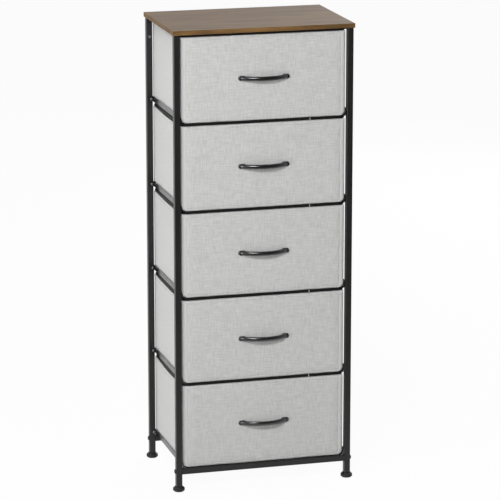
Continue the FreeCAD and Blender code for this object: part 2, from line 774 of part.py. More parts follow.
def long_round(sketch, name, middle, length, height):
    """An outline with round ends that lies along the sketch's first axis."""
    bend = value(height) / 2
    start = f"{middle} - ({length} - {height}) / 2"
    end = f"{middle} + ({length} - {height}) / 2"
    left_x, right_x = value(start), value(end)
    quarter = math.pi / 2
    south = line(sketch, (left_x, -bend), (right_x, -bend))
    right = arc(sketch, (right_x, 0), bend, -quarter, quarter)
    north = line(sketch, (right_x, bend), (left_x, bend))
    left = arc(sketch, (left_x, 0), bend, quarter, 3 * quarter)
    for edge, after in ((south, right), (right, north), (north, left), (left, south)):
        fix(sketch, "Tangent", edge, 2, after, 1)
    fix(sketch, "Equal", right, left)
    fix(sketch, "Horizontal", south)
    fix(sketch, "PointOnObject", right, 3, -1)
    hold(sketch, name + "_bend", f"{height} / 2", "Radius", right)
    hold(sketch, name + "_start", start, "DistanceX", -1, 1, left, 3)
    hold(sketch, name + "_end", end, "DistanceX", -1, 1, right, 3)


def make_handle(label):
    """A bow handle: an oval bar bent to an arc between two flat feet, cut off flat at the panel."""
    body = new_body(label)
    panel = f"({HANDLE_RADIUS} - handle_rise)"
    section = new_sketch(body, "YZ_Plane", label + "_section")
    tall, thick = value("handle_bar_height") / 2, value("handle_bar_thick") / 2
    middle = -value(HANDLE_RADIUS)
    oval = Part.Ellipse(Vector(middle, tall, 0), Vector(middle - thick, 0, 0), Vector(middle, 0, 0))
    bar = section.addGeometry(oval, False)
    section.exposeInternalGeometry(bar)
    major, minor = bar + 1, bar + 2
    fix(section, "PointOnObject", bar, 3, -1)
    fix(section, "Vertical", major)
    hold(section, "middle", HANDLE_RADIUS, "DistanceX", bar, 3, -1, 1)
    hold(section, "tall", "handle_bar_height", "Distance", major)
    hold(section, "thick", "handle_bar_thick", "Distance", minor)
    bow = body.newObject("PartDesign::Revolution", label + "_bow")
    bow.Profile = section
    bow.ReferenceAxis = (section, ["V_Axis"])
    bow.Midplane = True
    bind(bow, "Angle", f"2 * asin((handle_span / 2 + handle_bar_thick) / {HANDLE_RADIUS})")

    behind = new_sketch(body, "XZ_Plane", label + "_behind", panel)
    rectangle(behind, "-handle_length", "handle_length", "-handle_bar_height", "handle_bar_height")
    pocket(body, behind)

    for side, middle in (("right", HANDLE_FOOT_X), ("left", f"-{HANDLE_FOOT_X}")):
        foot_outline = new_sketch(body, "XZ_Plane", f"{label}_{side}_foot", panel)
        long_round(foot_outline, side, middle, "handle_foot_length", "handle_foot_height")
        raised = pad(body, foot_outline, "handle_foot_thick")
        bind(raised, "TaperAngle", "-handle_foot_draft")

    bores = new_sketch(body, "XZ_Plane", label + "_bores", panel)
    round_hole(bores, "right", "handle_hole_spacing / 2", None, "screw_dia + 2 * screw_play")
    round_hole(bores, "left", "-handle_hole_spacing / 2", None, "screw_dia + 2 * screw_play")
    pocket(body, bores, "handle_bore_depth", reverse=True)
    return body


def make_handle_screws(label):
    """Two screws from inside the drawer, through the panel into the handle's feet."""
    right = make_screw(label + "_right", "screw_dia", "handle_screw_length", "screw_head_dia", "screw_head_height")
    right.Placement.Rotation = TOWARD_BACK
    place(right, x="handle_hole_spacing / 2")
    return group(label, [right, mirrored(right, label + "_left", Vector(1, 0, 0))])


for drawer in range(1, drawers + 1):
    lift = f"{FIRST_DRAWER} + {drawers - drawer} * {PITCH}"
    name = f"drawer_{drawer}"
    front = make_front(name + "_front")
    box = make_bin(name + "_bin")
    base = make_base(name + "_base")
    handle = make_handle(name + "_handle")
    handle_screws = make_handle_screws(name + "_handle_screws")
    for soft_piece in (front, box):
        place(soft_piece, y=f"-{FRONT_FACE}", z=lift)
    place(base, f"-{FRONT_WIDTH} / 2 + corner_round + base_play",
          f"front_thick + base_play - {FRONT_FACE}", f"{lift} + bin_wall")
    place(handle, y=f"{HANDLE_RADIUS} - handle_rise - {FRONT_FACE}", z=f"{lift} + front_height / 2")
    place(handle_screws, y=f"front_thick - {FRONT_FACE}", z=f"{lift} + front_height / 2")
    keep(front, box, base, handle, handle_screws)


# Check everything, then write one file per piece, moved so that the origin is midway deep

doc.recompute()
broken = [item.Name for item in doc.Objects if "Invalid" in item.State or "Error" in item.State]
if broken:
    raise RuntimeError("failed objects: " + ", ".join(broken))
for piece in pieces:
    if piece.Shape.isNull() or not piece.Shape.isValid() or not piece.Shape.Solids:
        raise RuntimeError("bad shape: " + piece.Label)

back_reach = max(value(FOOT_REACH), value(half_depth))
front_reach = max(back_reach, value(HANDLE_REACH))
to_middle = Vector(0, (front_reach - back_reach) / 2, 0)
os.makedirs("parts", exist_ok=True)
for piece in pieces:
    solids = [solid.translated(to_middle) for solid in piece.Shape.Solids]
    shape = solids[0] if len(solids) == 1 else Part.makeCompound(solids)
    shape.exportStep(f"parts/{piece.Label}.step")
    print(piece.Label, len(solids), round(piece.Shape.Volume, 1))
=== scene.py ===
# %% [markdown]
# The frame comes first. The packed model brings every solid of the chest in metres, with
# the floor at Z = 0 and the drawers opening towards -Y. It could be rebuilt here by eye, but
# then nothing would fit, so every piece below takes its place from the solids' own boxes.

# %% Load the packed frame
import math

import bpy
from mathutils import Matrix, Vector, noise


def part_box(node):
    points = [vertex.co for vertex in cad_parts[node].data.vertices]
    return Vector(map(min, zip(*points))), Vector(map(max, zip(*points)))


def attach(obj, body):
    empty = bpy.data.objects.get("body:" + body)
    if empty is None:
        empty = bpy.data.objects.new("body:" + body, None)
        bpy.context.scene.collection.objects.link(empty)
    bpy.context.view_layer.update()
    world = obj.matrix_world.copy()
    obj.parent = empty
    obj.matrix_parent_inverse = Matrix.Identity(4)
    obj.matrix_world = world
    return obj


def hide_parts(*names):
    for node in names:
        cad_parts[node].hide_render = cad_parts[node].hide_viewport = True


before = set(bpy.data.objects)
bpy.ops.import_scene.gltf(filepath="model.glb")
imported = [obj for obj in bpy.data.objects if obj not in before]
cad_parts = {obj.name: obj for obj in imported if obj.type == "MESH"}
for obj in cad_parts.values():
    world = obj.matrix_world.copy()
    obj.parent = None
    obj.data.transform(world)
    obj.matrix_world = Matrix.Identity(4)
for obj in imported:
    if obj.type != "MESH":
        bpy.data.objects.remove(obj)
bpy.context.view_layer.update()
bpy.context.scene.view_settings.view_transform = "Standard"
DRAWERS = range(1, 6)
MM = 0.001

# %% [markdown]
# The photograph was taken from the front left with a long lens, from a little above the
# chest. A long lens far away keeps the uprights almost parallel. A shifted lens would make
# them exactly parallel, but it would also push every other view out of its frame, so the
# camera is simply aimed.

# %% Camera
AZIMUTH = math.radians(-15.31)
ELEVATION = math.radians(13.79)
DISTANCE = 7.118
AIM = Vector((0.004, 0.004, 0.5607))
back = Vector((math.sin(AZIMUTH) * math.cos(ELEVATION),
               -math.cos(AZIMUTH) * math.cos(ELEVATION),
               math.sin(ELEVATION)))
camera = bpy.data.objects.new("camera", bpy.data.cameras.new("camera"))
camera.data.lens = 207.6
camera.data.sensor_width = 36
camera.location = AIM + back * DISTANCE
camera.rotation_mode = "QUATERNION"
camera.rotation_quaternion = (-back).to_track_quat("-Z", "Y")
bpy.context.scene.collection.objects.link(camera)
bpy.context.scene.camera = camera
print("camera at", camera.location)

# %% [markdown]
# Every material is a small graph of nodes. Two helpers keep that readable: one turns the
# colour as a designer writes it, sRGB hex, into the linear numbers that light is added up in,
# and one adds a node with its settings and its links in a single call.

# %% Colour and node helpers
def linear(hexcode):
    """sRGB hex as linear red, green, blue and alpha."""
    channels = [int(hexcode[place:place + 2], 16) / 255 for place in (1, 3, 5)]
    return [c / 12.92 if c <= 0.04045 else ((c + 0.055) / 1.055) ** 2.4 for c in channels] + [1.0]


def node(tree, kind, inputs=None, **settings):
    """Add a node; an input is a value, or a node with the name of its output."""
    made = tree.nodes.new("ShaderNode" + kind)
    for name, setting in settings.items():
        setattr(made, name, setting)
    for socket, given in (inputs or {}).items():
        if isinstance(given, tuple) and isinstance(given[0], bpy.types.Node):
            tree.links.new(given[0].outputs[given[1]], made.inputs[socket])
        else:
            made.inputs[socket].default_value = given
    return made


def new_material(name):
    """A material with an empty graph, and that graph."""
    material = bpy.data.materials.new(name)
    material.use_nodes = True
    material.node_tree.nodes.clear()
    return material, material.node_tree


print("mid grey is", linear("#808080"))

# %% [markdown]
# The chest stands on a seamless white studio floor. A floor lit hard enough to turn white
# would burn out the pale cloth, so the floor is partly its own light where the camera, a
# mirror-like surface or glass looks at it, and an ordinary pale floor for everything else.
# A share of it stays plain, which keeps the soft shadow under the feet. The paper ends in
# front of the chest, so reflections find a darker floor there.

# %% Floor
PAPER_GLOW = 1.025
PAPER_SHARE = 0.93
PAPER_END, PAPER_FULL = -1.6, -0.4
ROOM_FLOOR = 0.05
bpy.ops.object.select_all(action="DESELECT")
bpy.ops.mesh.primitive_plane_add(size=60, location=(0, 0, -0.0005))
floor = bpy.context.object
floor.name = "studio_floor"
paper, tree = new_material("white_studio_paper")
rays = node(tree, "LightPath")
place = node(tree, "TexCoord")
spot = node(tree, "SeparateXYZ", {0: (place, "Object")})
mirrored = node(tree, "MapRange", {0: (spot, "Y"), 1: PAPER_END, 2: PAPER_FULL, 3: ROOM_FLOOR, 4: 1.0})
level = node(tree, "Mix", {"Factor": (rays, "Is Glossy Ray"), "A": PAPER_GLOW, "B": (mirrored, 0)})
seen = node(tree, "Math", {0: (rays, "Is Camera Ray"), 1: (rays, "Is Glossy Ray")}, operation="MAXIMUM")
seen = node(tree, "Math", {0: (seen, 0), 1: (rays, "Is Transmission Ray")}, operation="MAXIMUM")
share = node(tree, "Math", {0: (seen, 0), 1: PAPER_SHARE}, operation="MULTIPLY")
plain = node(tree, "BsdfDiffuse", {"Color": linear("#DADADA")})
glow = node(tree, "Emission", {"Color": linear("#FFFFFF"), "Strength": (level, 0)})
surface = node(tree, "MixShader", {0: (share, 0), 1: (plain, 0), 2: (glow, 0)})
node(tree, "OutputMaterial", {"Surface": (surface, 0)})
floor.data.materials.append(paper)
print("floor:", floor.dimensions.x, "m wide")

# %% [markdown]
# The light is a plain studio: white walls behind and beside the chest, a darker room behind
# the camera, and three softboxes. A wide one high up in front on the left throws the
# handles' shadows down. One low and far round to the left catches the rolled left edge of every
# front. The third stands behind on the right, so that the back isn't lost in the dark. The
# levels add up to about one, so that a colour renders as it is written.

# %% World and lamps
ROOM_LIGHT = 0.20
ROOM_MIRRORED = 0.10
world = bpy.data.worlds.new("studio")
bpy.context.scene.world = world
world.use_nodes = True
tree = world.node_tree
tree.nodes.clear()
rays = node(tree, "LightPath")
way = node(tree, "TexCoord")
facing = node(tree, "SeparateXYZ", {0: (way, "Generated")})
walls = node(tree, "MapRange", {0: (facing, "Y"), 1: -0.7, 2: 0.2, 3: ROOM_MIRRORED, 4: 1.0})
seen = node(tree, "Math", {0: (rays, "Is Camera Ray"), 1: (rays, "Is Transmission Ray")},
            operation="MAXIMUM")
level = node(tree, "MapRange", {0: (seen, 0), 3: ROOM_LIGHT, 4: 1.0})
level = node(tree, "Mix", {"Factor": (rays, "Is Glossy Ray"), "A": (level, 0), "B": (walls, 0)})
sky = node(tree, "Background", {"Color": linear("#FFFFFF"), "Strength": (level, 0)})
node(tree, "OutputWorld", {"Surface": (sky, 0)})


def softbox(name, place, aim, width, height, watts):
    """A lamp with a soft rectangle of light, turned to what it lights."""
    lamp = bpy.data.lights.new(name, "AREA")
    lamp.shape = "RECTANGLE"
    lamp.size = width
    lamp.size_y = height
    lamp.energy = watts
    stand = bpy.data.objects.new(name, lamp)
    stand.location = place
    stand.rotation_mode = "QUATERNION"
    stand.rotation_quaternion = (Vector(aim) - Vector(place)).to_track_quat("-Z", "Y")
    stand.visible_camera = False
    bpy.context.scene.collection.objects.link(stand)
    print(name, watts, "W")


softbox("softbox_front", (-1.38, -3.10, 2.61), (0, 0, 0.65), 1.4, 0.7, 92)
softbox("softbox_side", (-3.46, -2.00, 0.35), (0, 0, 0.5), 1.0, 2.0, 80)
softbox("softbox_back", (2.4, 3.0, 1.9), (0, 0, 0.6), 1.5, 1.5, 55)

# %% [markdown]
# Posts, rails and brackets are steel under black powder coat. Sprayed powder melts into a
# skin with a faint orange peel: dark, half glossy, its gloss broken a little. Paint over
# metal is modelled as a dark plastic, not as a metal, because no bare metal shows.

# %% Powder-coated steel
coat, tree = new_material("black_powder_coated_steel")
place = node(tree, "TexCoord")
peel = node(tree, "TexNoise", {"Vector": (place, "Object"), "Scale": 1 / (1.4 * MM), "Detail": 2.0})
cloud = node(tree, "TexNoise", {"Vector": (place, "Object"), "Scale": 1 / (45 * MM), "Detail": 3.0})
tone = node(tree, "ValToRGB", {"Fac": (cloud, "Fac")})
tone.color_ramp.elements[0].color = linear("#1C1C1C")
tone.color_ramp.elements[1].color = linear("#232323")
sheen = node(tree, "MapRange", {0: (cloud, "Fac"), 1: 0.3, 2: 0.7, 3: 0.30, 4: 0.40})
skin = node(tree, "Bump", {"Height": (peel, "Fac"), "Strength": 0.10, "Distance": 0.05 * MM})
paint = node(tree, "BsdfPrincipled", {"Base Color": (tone, "Color"), "Roughness": (sheen, 0),
                                      "Normal": (skin, "Normal"), "Specular IOR Level": 0.35})
node(tree, "OutputMaterial", {"Surface": (paint, 0)})


def dress(material, *names):
    """Give solids of the frame a material."""
    for name in names:
        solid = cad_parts[name]
        solid.data.materials.clear()
        solid.data.materials.append(material)


CORNERS = [f"{depth}_{side}" for depth in ("front", "back") for side in ("left", "right")]
dress(coat, *[f"post_{corner}" for corner in CORNERS])
dress(coat, *[f"rail_{side}" for side in ("front", "back", "left", "right")])
dress(coat, "top_brackets")
print("coated:", coat.name)

# %% [markdown]
# The thin rods get a blacker, duller copy of the black coat. The blacker tone is painted shade,
# standing in for the shade between the padded fronts. It has no orange peel, only slow waves.

# %% Rod coat with painted shade
rod_coat_painted_shade, tree = new_material("black_rod_coat_painted_shade")
place = node(tree, "TexCoord")
runs = node(tree, "TexNoise", {"Vector": (place, "Object"), "Scale": 1 / (20 * MM), "Detail": 2.0})
tone = node(tree, "ValToRGB", {"Fac": (runs, "Fac")})
# Painted shade: these tones are blacker than the coat's, for the shade between the fronts.
tone.color_ramp.elements[0].color = linear("#080808")
tone.color_ramp.elements[1].color = linear("#111112")
skin = node(tree, "Bump", {"Height": (runs, "Fac"), "Strength": 0.2, "Distance": 0.1 * MM})
enamel = node(tree, "BsdfPrincipled", {"Base Color": (tone, "Color"), "Roughness": 0.5,
                                       "Normal": (skin, "Normal"), "Specular IOR Level": 0.2})
node(tree, "OutputMaterial", {"Surface": (enamel, 0)})
RINGS = range(1, 5)
dress(rod_coat_painted_shade, "ring_top", *[f"ring_{number}" for number in RINGS])
print("dipped:", rod_coat_painted_shade.name)

# %% [markdown]
# Feet and plugs are injection-moulded black polypropylene: duller than the coated steel, with
# the fine even grain of a spark-eroded mould.

# %% Moulded plastic
moulded, tree = new_material("moulded_black_polypropylene")
place = node(tree, "TexCoord")
grain = node(tree, "TexNoise", {"Vector": (place, "Object"), "Scale": 1 / (0.6 * MM), "Detail": 1.0})
rub = node(tree, "TexNoise", {"Vector": (place, "Object"), "Scale": 1 / (12 * MM), "Detail": 2.0})
tone = node(tree, "ValToRGB", {"Fac": (rub, "Fac")})
tone.color_ramp.elements[0].color = linear("#141414")
tone.color_ramp.elements[1].color = linear("#212121")
skin = node(tree, "Bump", {"Height": (grain, "Fac"), "Strength": 0.25, "Distance": 0.08 * MM})
plastic = node(tree, "BsdfPrincipled", {"Base Color": (tone, "Color"), "Roughness": 0.48,
                                        "Normal": (skin, "Normal"), "Specular IOR Level": 0.4})
node(tree, "OutputMaterial", {"Surface": (plastic, 0)})
dress(moulded, "foot_plugs", "rail_plugs", *[f"foot_{corner}" for corner in CORNERS])
print("moulded:", moulded.name)

# %% [markdown]
# Handles and runners are moulded from black ABS in a polished mould, so they shine: almost
# black where they mirror the dark room, bright along the edges that mirror a softbox. Fine
# rubbing from use makes the gloss a little uneven.

# %% Polished plastic
gloss, tree = new_material("polished_black_abs")
place = node(tree, "TexCoord")
rub = node(tree, "TexNoise", {"Vector": (place, "Object"), "Scale": 1 / (18 * MM), "Detail": 3.0})
tone = node(tree, "ValToRGB", {"Fac": (rub, "Fac")})
tone.color_ramp.elements[0].color = linear("#0B0B0C")
tone.color_ramp.elements[1].color = linear("#151516")
polish = node(tree, "MapRange", {0: (rub, "Fac"), 1: 0.3, 2: 0.7, 3: 0.16, 4: 0.26})
shell = node(tree, "BsdfPrincipled", {"Base Color": (tone, "Color"), "Roughness": (polish, 0),
                                      "IOR": 1.54, "Specular IOR Level": 0.75})
node(tree, "OutputMaterial", {"Surface": (shell, 0)})
dress(gloss, *[f"runners_{number}" for number in DRAWERS])
print("polished:", gloss.name)

# %% [markdown]
# Screws are steel with a thin bright zinc plating. Tumbled in a drum with thousands of others,
# they are silvery but dull, with cloudy patches, so the metal gets a wide soft gloss.

# %% Zinc plate
zinc, tree = new_material("zinc_plated_steel")
place = node(tree, "TexCoord")
cloud = node(tree, "TexNoise", {"Vector": (place, "Object"), "Scale": 1 / (2.5 * MM), "Detail": 2.0})
tone = node(tree, "ValToRGB", {"Fac": (cloud, "Fac")})
tone.color_ramp.elements[0].color = linear("#66676A")
tone.color_ramp.elements[1].color = linear("#85868A")
dull = node(tree, "MapRange", {0: (cloud, "Fac"), 1: 0.3, 2: 0.7, 3: 0.38, 4: 0.52})
plate = node(tree, "BsdfPrincipled", {"Base Color": (tone, "Color"), "Roughness": (dull, 0),
                                      "Metallic": 1.0})
node(tree, "OutputMaterial", {"Surface": (plate, 0)})
print("plated:", zinc.name)

# %% [markdown]
# The top is chipboard under a printed wood-grain film. The print has long fibres along the
# width, wider bands of lighter and darker wood and short dark pores. The film is satin, and
# seen along its surface it mirrors the white studio, which greys the brown. The strip round
# the edges is ironed on afterwards and duller. All patterns are stretched noise: the stretch
# is the fibre's length against its width.

# %% Wood-grain film
film, tree = new_material("wood_grain_printed_film")
place = node(tree, "TexCoord")
bands_at = node(tree, "Mapping", {"Vector": (place, "Object"),
                                  "Scale": (1 / (160 * MM), 1 / (24 * MM), 1 / (24 * MM))})
bands = node(tree, "TexNoise", {"Vector": (bands_at, 0), "Scale": 1.0, "Detail": 5.0,
                                "Distortion": 0.6})
fibre_at = node(tree, "Mapping", {"Vector": (place, "Object"),
                                  "Scale": (1 / (70 * MM), 1 / (2.2 * MM), 1 / (2.2 * MM))})
fibre = node(tree, "TexNoise", {"Vector": (fibre_at, 0), "Scale": 1.0, "Detail": 3.0})
pores_at = node(tree, "Mapping", {"Vector": (place, "Object"),
                                  "Scale": (1 / (22 * MM), 1 / (1.6 * MM), 1 / (1.6 * MM))})
pores = node(tree, "TexNoise", {"Vector": (pores_at, 0), "Scale": 1.0, "Detail": 1.0})
wood = node(tree, "ValToRGB", {"Fac": (bands, "Fac")})
wood.color_ramp.elements[0].position = 0.33
wood.color_ramp.elements[0].color = linear("#62482A")
wood.color_ramp.elements[1].position = 0.67
wood.color_ramp.elements[1].color = linear("#7F6038")
streak = node(tree, "MapRange", {0: (fibre, "Fac"), 1: 0.3, 2: 0.7, 3: 0.72, 4: 1.18})
pore = node(tree, "MapRange", {0: (pores, "Fac"), 1: 0.60, 2: 0.68, 3: 1.0, 4: 0.80})
shade = node(tree, "Math", {0: (streak, 0), 1: (pore, 0)}, operation="MULTIPLY")
printed = node(tree, "VectorMath", {0: (wood, "Color"), 3: (shade, 0)}, operation="SCALE")
emboss = node(tree, "Bump", {"Height": (fibre, "Fac"), "Strength": 0.25, "Distance": 0.08 * MM})
lying = node(tree, "SeparateXYZ", {0: (place, "Normal")})
satin = node(tree, "MapRange", {0: (lying, "Z"), 3: 0.22, 4: 0.53})
board = node(tree, "BsdfPrincipled", {"Base Color": (printed, 0), "Roughness": 0.52,
                                      "Normal": (emboss, "Normal"), "Specular IOR Level": (satin, 0)})
node(tree, "OutputMaterial", {"Surface": (board, 0)})
dress(film, "top_board")
print("printed:", film.name)

# %% [markdown]
# The drawer fronts are covered in linen-look polyester: light and dark grey yarns of uneven
# thickness, woven plain. From a distance the threads melt together and only the slubs, the
# thicker bits of yarn, show as short streaks both ways. The real threads are half a
# millimetre apart, too fine for the picture, so the weave is drawn at 1.2 mm.

# %% Linen-look cloth
linen, tree = new_material("linen_look_polyester_weave")
place = node(tree, "TexCoord")
weft_at = node(tree, "Mapping", {"Vector": (place, "Object"),
                                 "Scale": (1 / (26 * MM), 1 / (6 * MM), 1 / (2.4 * MM))})
weft = node(tree, "TexNoise", {"Vector": (weft_at, 0), "Scale": 1.0, "Detail": 3.0})
warp_at = node(tree, "Mapping", {"Vector": (place, "Object"),
                                 "Scale": (1 / (2.4 * MM), 1 / (6 * MM), 1 / (22 * MM))})
warp = node(tree, "TexNoise", {"Vector": (warp_at, 0), "Scale": 1.0, "Detail": 3.0})
slubs = node(tree, "Math", {0: (weft, "Fac"), 1: (warp, "Fac")}, operation="ADD")
yarn = node(tree, "MapRange", {0: (slubs, 0), 1: 0.75, 2: 1.25})
cloth = node(tree, "ValToRGB", {"Fac": (yarn, 0)})
cloth.color_ramp.elements[0].color = linear("#B8B8B7")
cloth.color_ramp.elements[1].color = linear("#CCCCCB")
threads = 2 * math.pi / (1.2 * MM)
apart = node(tree, "SeparateXYZ", {0: (place, "Object")})
across = node(tree, "Math", {0: (apart, "X"), 1: threads}, operation="MULTIPLY")
upward = node(tree, "Math", {0: (apart, "Z"), 1: threads}, operation="MULTIPLY")
across = node(tree, "Math", {0: (across, 0)}, operation="SINE")
upward = node(tree, "Math", {0: (upward, 0)}, operation="SINE")
weave = node(tree, "Math", {0: (across, 0), 1: (upward, 0)}, operation="MULTIPLY")
height = node(tree, "Math", {0: (weave, 0), 1: (slubs, 0)}, operation="ADD")
relief = node(tree, "Bump", {"Height": (height, 0), "Strength": 0.35, "Distance": 0.15 * MM})
woven = node(tree, "BsdfPrincipled", {"Base Color": (cloth, "Color"), "Roughness": 0.88,
                                      "Normal": (relief, "Normal"), "Specular IOR Level": 0.2,
                                      "Sheen Weight": 0.15, "Sheen Roughness": 0.5})
node(tree, "OutputMaterial", {"Surface": (woven, 0)})
print("woven:", linen.name)

# %% [markdown]
# Outside the side seams the fronts get a smoother cloth, a shade paler: a painted highlight
# for the light that catches the rolled side edges. Only fine ribs show on it, 1.5 mm apart. At
# scale 1 a wave texture repeats every 0.314 m, which gives its scale.

# %% Side edges with painted highlight
WAVE_LENGTH = 0.314
edge_highlight_cloth, tree = new_material("side_edge_painted_highlight")
place = node(tree, "TexCoord")
ribs = node(tree, "TexWave", {"Vector": (place, "Object"), "Scale": WAVE_LENGTH / (1.5 * MM),
                              "Distortion": 0.6}, bands_direction="DIAGONAL")
fibres = node(tree, "TexNoise", {"Vector": (place, "Object"), "Scale": 1 / (4 * MM), "Detail": 3.0})
tone = node(tree, "ValToRGB", {"Fac": (fibres, "Fac")})
# Painted highlight: paler than the linen, for light catching the rolled side edges.
tone.color_ramp.elements[0].color = linear("#C2C2C1")
tone.color_ramp.elements[1].color = linear("#CECECD")
relief = node(tree, "Bump", {"Height": (ribs, "Fac"), "Strength": 0.2, "Distance": 0.1 * MM})
paler_edge_bsdf = node(tree, "BsdfPrincipled", {"Base Color": (tone, "Color"), "Roughness": 0.8,
                                      "Normal": (relief, "Normal"), "Specular IOR Level": 0.2})
node(tree, "OutputMaterial", {"Surface": (paler_edge_bsdf, 0)})
print("bound with:", edge_highlight_cloth.name)

# %% [markdown]
# The boxes behind the fronts are non-woven cloth: fibres felted together and pressed with
# small dimples in rows. It is paler and smoother than the fronts. A Voronoi texture gives a
# dimple per cell, spaced 2.5 mm.

# %% Non-woven cloth
felted, tree = new_material("pressed_non_woven_cloth")
place = node(tree, "TexCoord")
dimples = node(tree, "TexVoronoi", {"Vector": (place, "Object"), "Scale": 1 / (2.5 * MM),
                                    "Randomness": 0.25})
fibres = node(tree, "TexNoise", {"Vector": (place, "Object"), "Scale": 1 / (4 * MM), "Detail": 4.0})
tone = node(tree, "ValToRGB", {"Fac": (fibres, "Fac")})
tone.color_ramp.elements[0].position = 0.3
tone.color_ramp.elements[0].color = linear("#D8D8D7")
tone.color_ramp.elements[1].position = 0.7
tone.color_ramp.elements[1].color = linear("#E8E8E7")
press = node(tree, "Bump", {"Height": (dimples, "Distance"), "Strength": 0.25, "Distance": 0.2 * MM})
felt = node(tree, "BsdfPrincipled", {"Base Color": (tone, "Color"), "Roughness": 0.85,
                                     "Normal": (press, "Normal"), "Specular IOR Level": 0.2,
                                     "Sheen Weight": 0.1, "Sheen Roughness": 0.5})
node(tree, "OutputMaterial", {"Surface": (felt, 0)})
dress(felted, *[f"drawer_{number}_base" for number in DRAWERS])
print("pressed:", felted.name)

# %% [markdown]
# The cloth needs thread too: spun polyester, a shade darker than the cloth, with a soft
# sheen. Its twist is finer than a picture of the whole chest can show, so it is drawn as
# bands 1 mm apart.

# %% Thread
thread, tree = new_material("spun_polyester_thread")
place = node(tree, "TexCoord")
twist = node(tree, "TexWave", {"Vector": (place, "Object"), "Scale": WAVE_LENGTH / (1.0 * MM),
                               "Distortion": 1.0}, bands_direction="DIAGONAL")
tone = node(tree, "ValToRGB", {"Fac": (twist, "Fac")})
tone.color_ramp.elements[0].color = linear("#A9A9A8")
tone.color_ramp.elements[1].color = linear("#C4C4C3")
spun = node(tree, "BsdfPrincipled", {"Base Color": (tone, "Color"), "Roughness": 0.6,
                                     "Sheen Weight": 0.2})
node(tree, "OutputMaterial", {"Surface": (spun, 0)})
print("thread:", thread.name)

# %% [markdown]
# A drawer front is a stiff board in a padded, sewn cover. Along the edge the cover is turned
# in and top-stitched, which leaves a soft roll, wider at the sides than at the top, then a
# sunk line of stitches, then the flat field. It could be a box with a bevel, but the roll and
# the stitch line follow the rounded lower corners, so a grid is laid out in the front's
# shape with close rows at the edge and at the seam. First the outline and its distances.

# %% Spacing and outline of a front
SIDE_SEAM = 12 * MM
TOP_SEAM = 7.5 * MM
LOW_ROUND = 13 * MM
EDGE_STEPS = (0, 0.5, 1.2, 2.2, 3.5, 5.0)
SEAM_STEPS = (-1.8, -1.1, -0.6, -0.2, 0.2, 0.6, 1.1, 2.0, 3.6)


def seam_spacing(length, pitch, seam):
    """Places along one side of a front: close at the edge and about the seam, wide in the field."""
    edge = [step * MM for step in EDGE_STEPS]
    sewn = [seam + step * MM for step in SEAM_STEPS]
    near = edge + sewn
    span = length - 2 * near[-1]
    count = round(span / pitch)
    middle = [near[-1] + span * place / count for place in range(1, count)]
    return near + middle + [length - step for step in reversed(near)]


def row_half_width(up, half):
    """Half the width of a front at a height: it narrows through the rounded lower corners."""
    if up >= LOW_ROUND:
        return half
    return half - LOW_ROUND + math.sqrt(max(LOW_ROUND ** 2 - (LOW_ROUND - up) ** 2, 0.0))


def edge_and_seam(across, up, half, tall):
    """How far a point lies inside the outline, and how far inside the seam (below 0 on the roll)."""
    side = half - abs(across)
    inside = min(side, tall - up, up)
    past_seam = min(side - SIDE_SEAM, tall - up - TOP_SEAM, up - TOP_SEAM)
    if up < LOW_ROUND and side < LOW_ROUND:
        inside = LOW_ROUND - math.hypot(LOW_ROUND - side, LOW_ROUND - up)
    return max(inside, 0.0), past_seam


print("seams:", SIDE_SEAM, TOP_SEAM)

# %% [markdown]
# The grid comes from the Add menu. A helper gives it the right number of points and says
# which column and row each point is in, so that a point's place can be worked out from there.

# %% Grid helper
def cut_grid(name, columns, rows):
    """A grid, and the column and row of each of its points."""
    bpy.ops.object.select_all(action="DESELECT")
    bpy.ops.mesh.primitive_grid_add(x_subdivisions=columns - 1, y_subdivisions=rows - 1, size=2)
    sheet = bpy.context.object
    sheet.name = name
    sheet.data.name = name
    order = [(round((v.co.x + 1) / 2 * (columns - 1)), round((v.co.y + 1) / 2 * (rows - 1)))
             for v in sheet.data.vertices]
    return sheet, order


print(cut_grid.__doc__)

# %% [markdown]
# One cover is cut to the shape of the top front. The roll curves back 5 mm from the seam to the
# edge, like a quarter of an ellipse, and the seam itself is sunk 0.8 mm. The points on the
# edge, on the seam and well inside it are marked as sewn, because the next step lets the rest
# of the cloth move.

# %% Cut the cover of a front
COVER_PITCH = 5 * MM
ROLL_DEPTH = 5 * MM
SEAM_DEPTH = 0.8 * MM
SEAM_REACH = 0.9 * MM
HELD_WITHIN = 0.4 * MM
GLUED_FROM = 30 * MM


def cut_cover():
    """The cover of the top front, and the points of it that are held."""
    low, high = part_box("drawer_1_front")
    half = high.x
    tall = high.z - low.z
    columns = seam_spacing(2 * half, COVER_PITCH, SIDE_SEAM)
    rows = seam_spacing(tall, COVER_PITCH, TOP_SEAM)
    cover, order = cut_grid("sewn_front", len(columns), len(rows))
    sewn = []
    for vertex, (column, row) in zip(cover.data.vertices, order):
        up = rows[row]
        across = (columns[column] - half) * row_half_width(up, half) / half
        inside, past_seam = edge_and_seam(across, up, half, tall)
        outward = max(1 - inside / (inside - past_seam), 0)
        turned = ROLL_DEPTH * (1 - math.sqrt(1 - outward ** 2))
        sunk = SEAM_DEPTH * math.exp(-(past_seam / SEAM_REACH) ** 2)
        vertex.co = (across, low.y + turned + sunk, low.z + up)
        if inside < HELD_WITHIN or abs(past_seam) < HELD_WITHIN or past_seam > GLUED_FROM:
            sewn.append(vertex.index)
    return cover, sewn


cover, sewn = cut_cover()
print("cover:", len(cover.data.vertices), "points,", len(sewn), "held")

# %% [markdown]
# Then the cloth is simulated, as padding does it: a light pressure from behind, no gravity,
# edge, seam and the middle glued to the board, and cloth cut a little too large, so that it
# puckers along the seam. Puckers could be drawn with noise, but cloth that pulls on stitches
# runs away from them in its own way. No point may move more than 0.5 mm.

# %% Let the padding push
SETTLE = 20
MOST_PUSH = 0.5 * MM


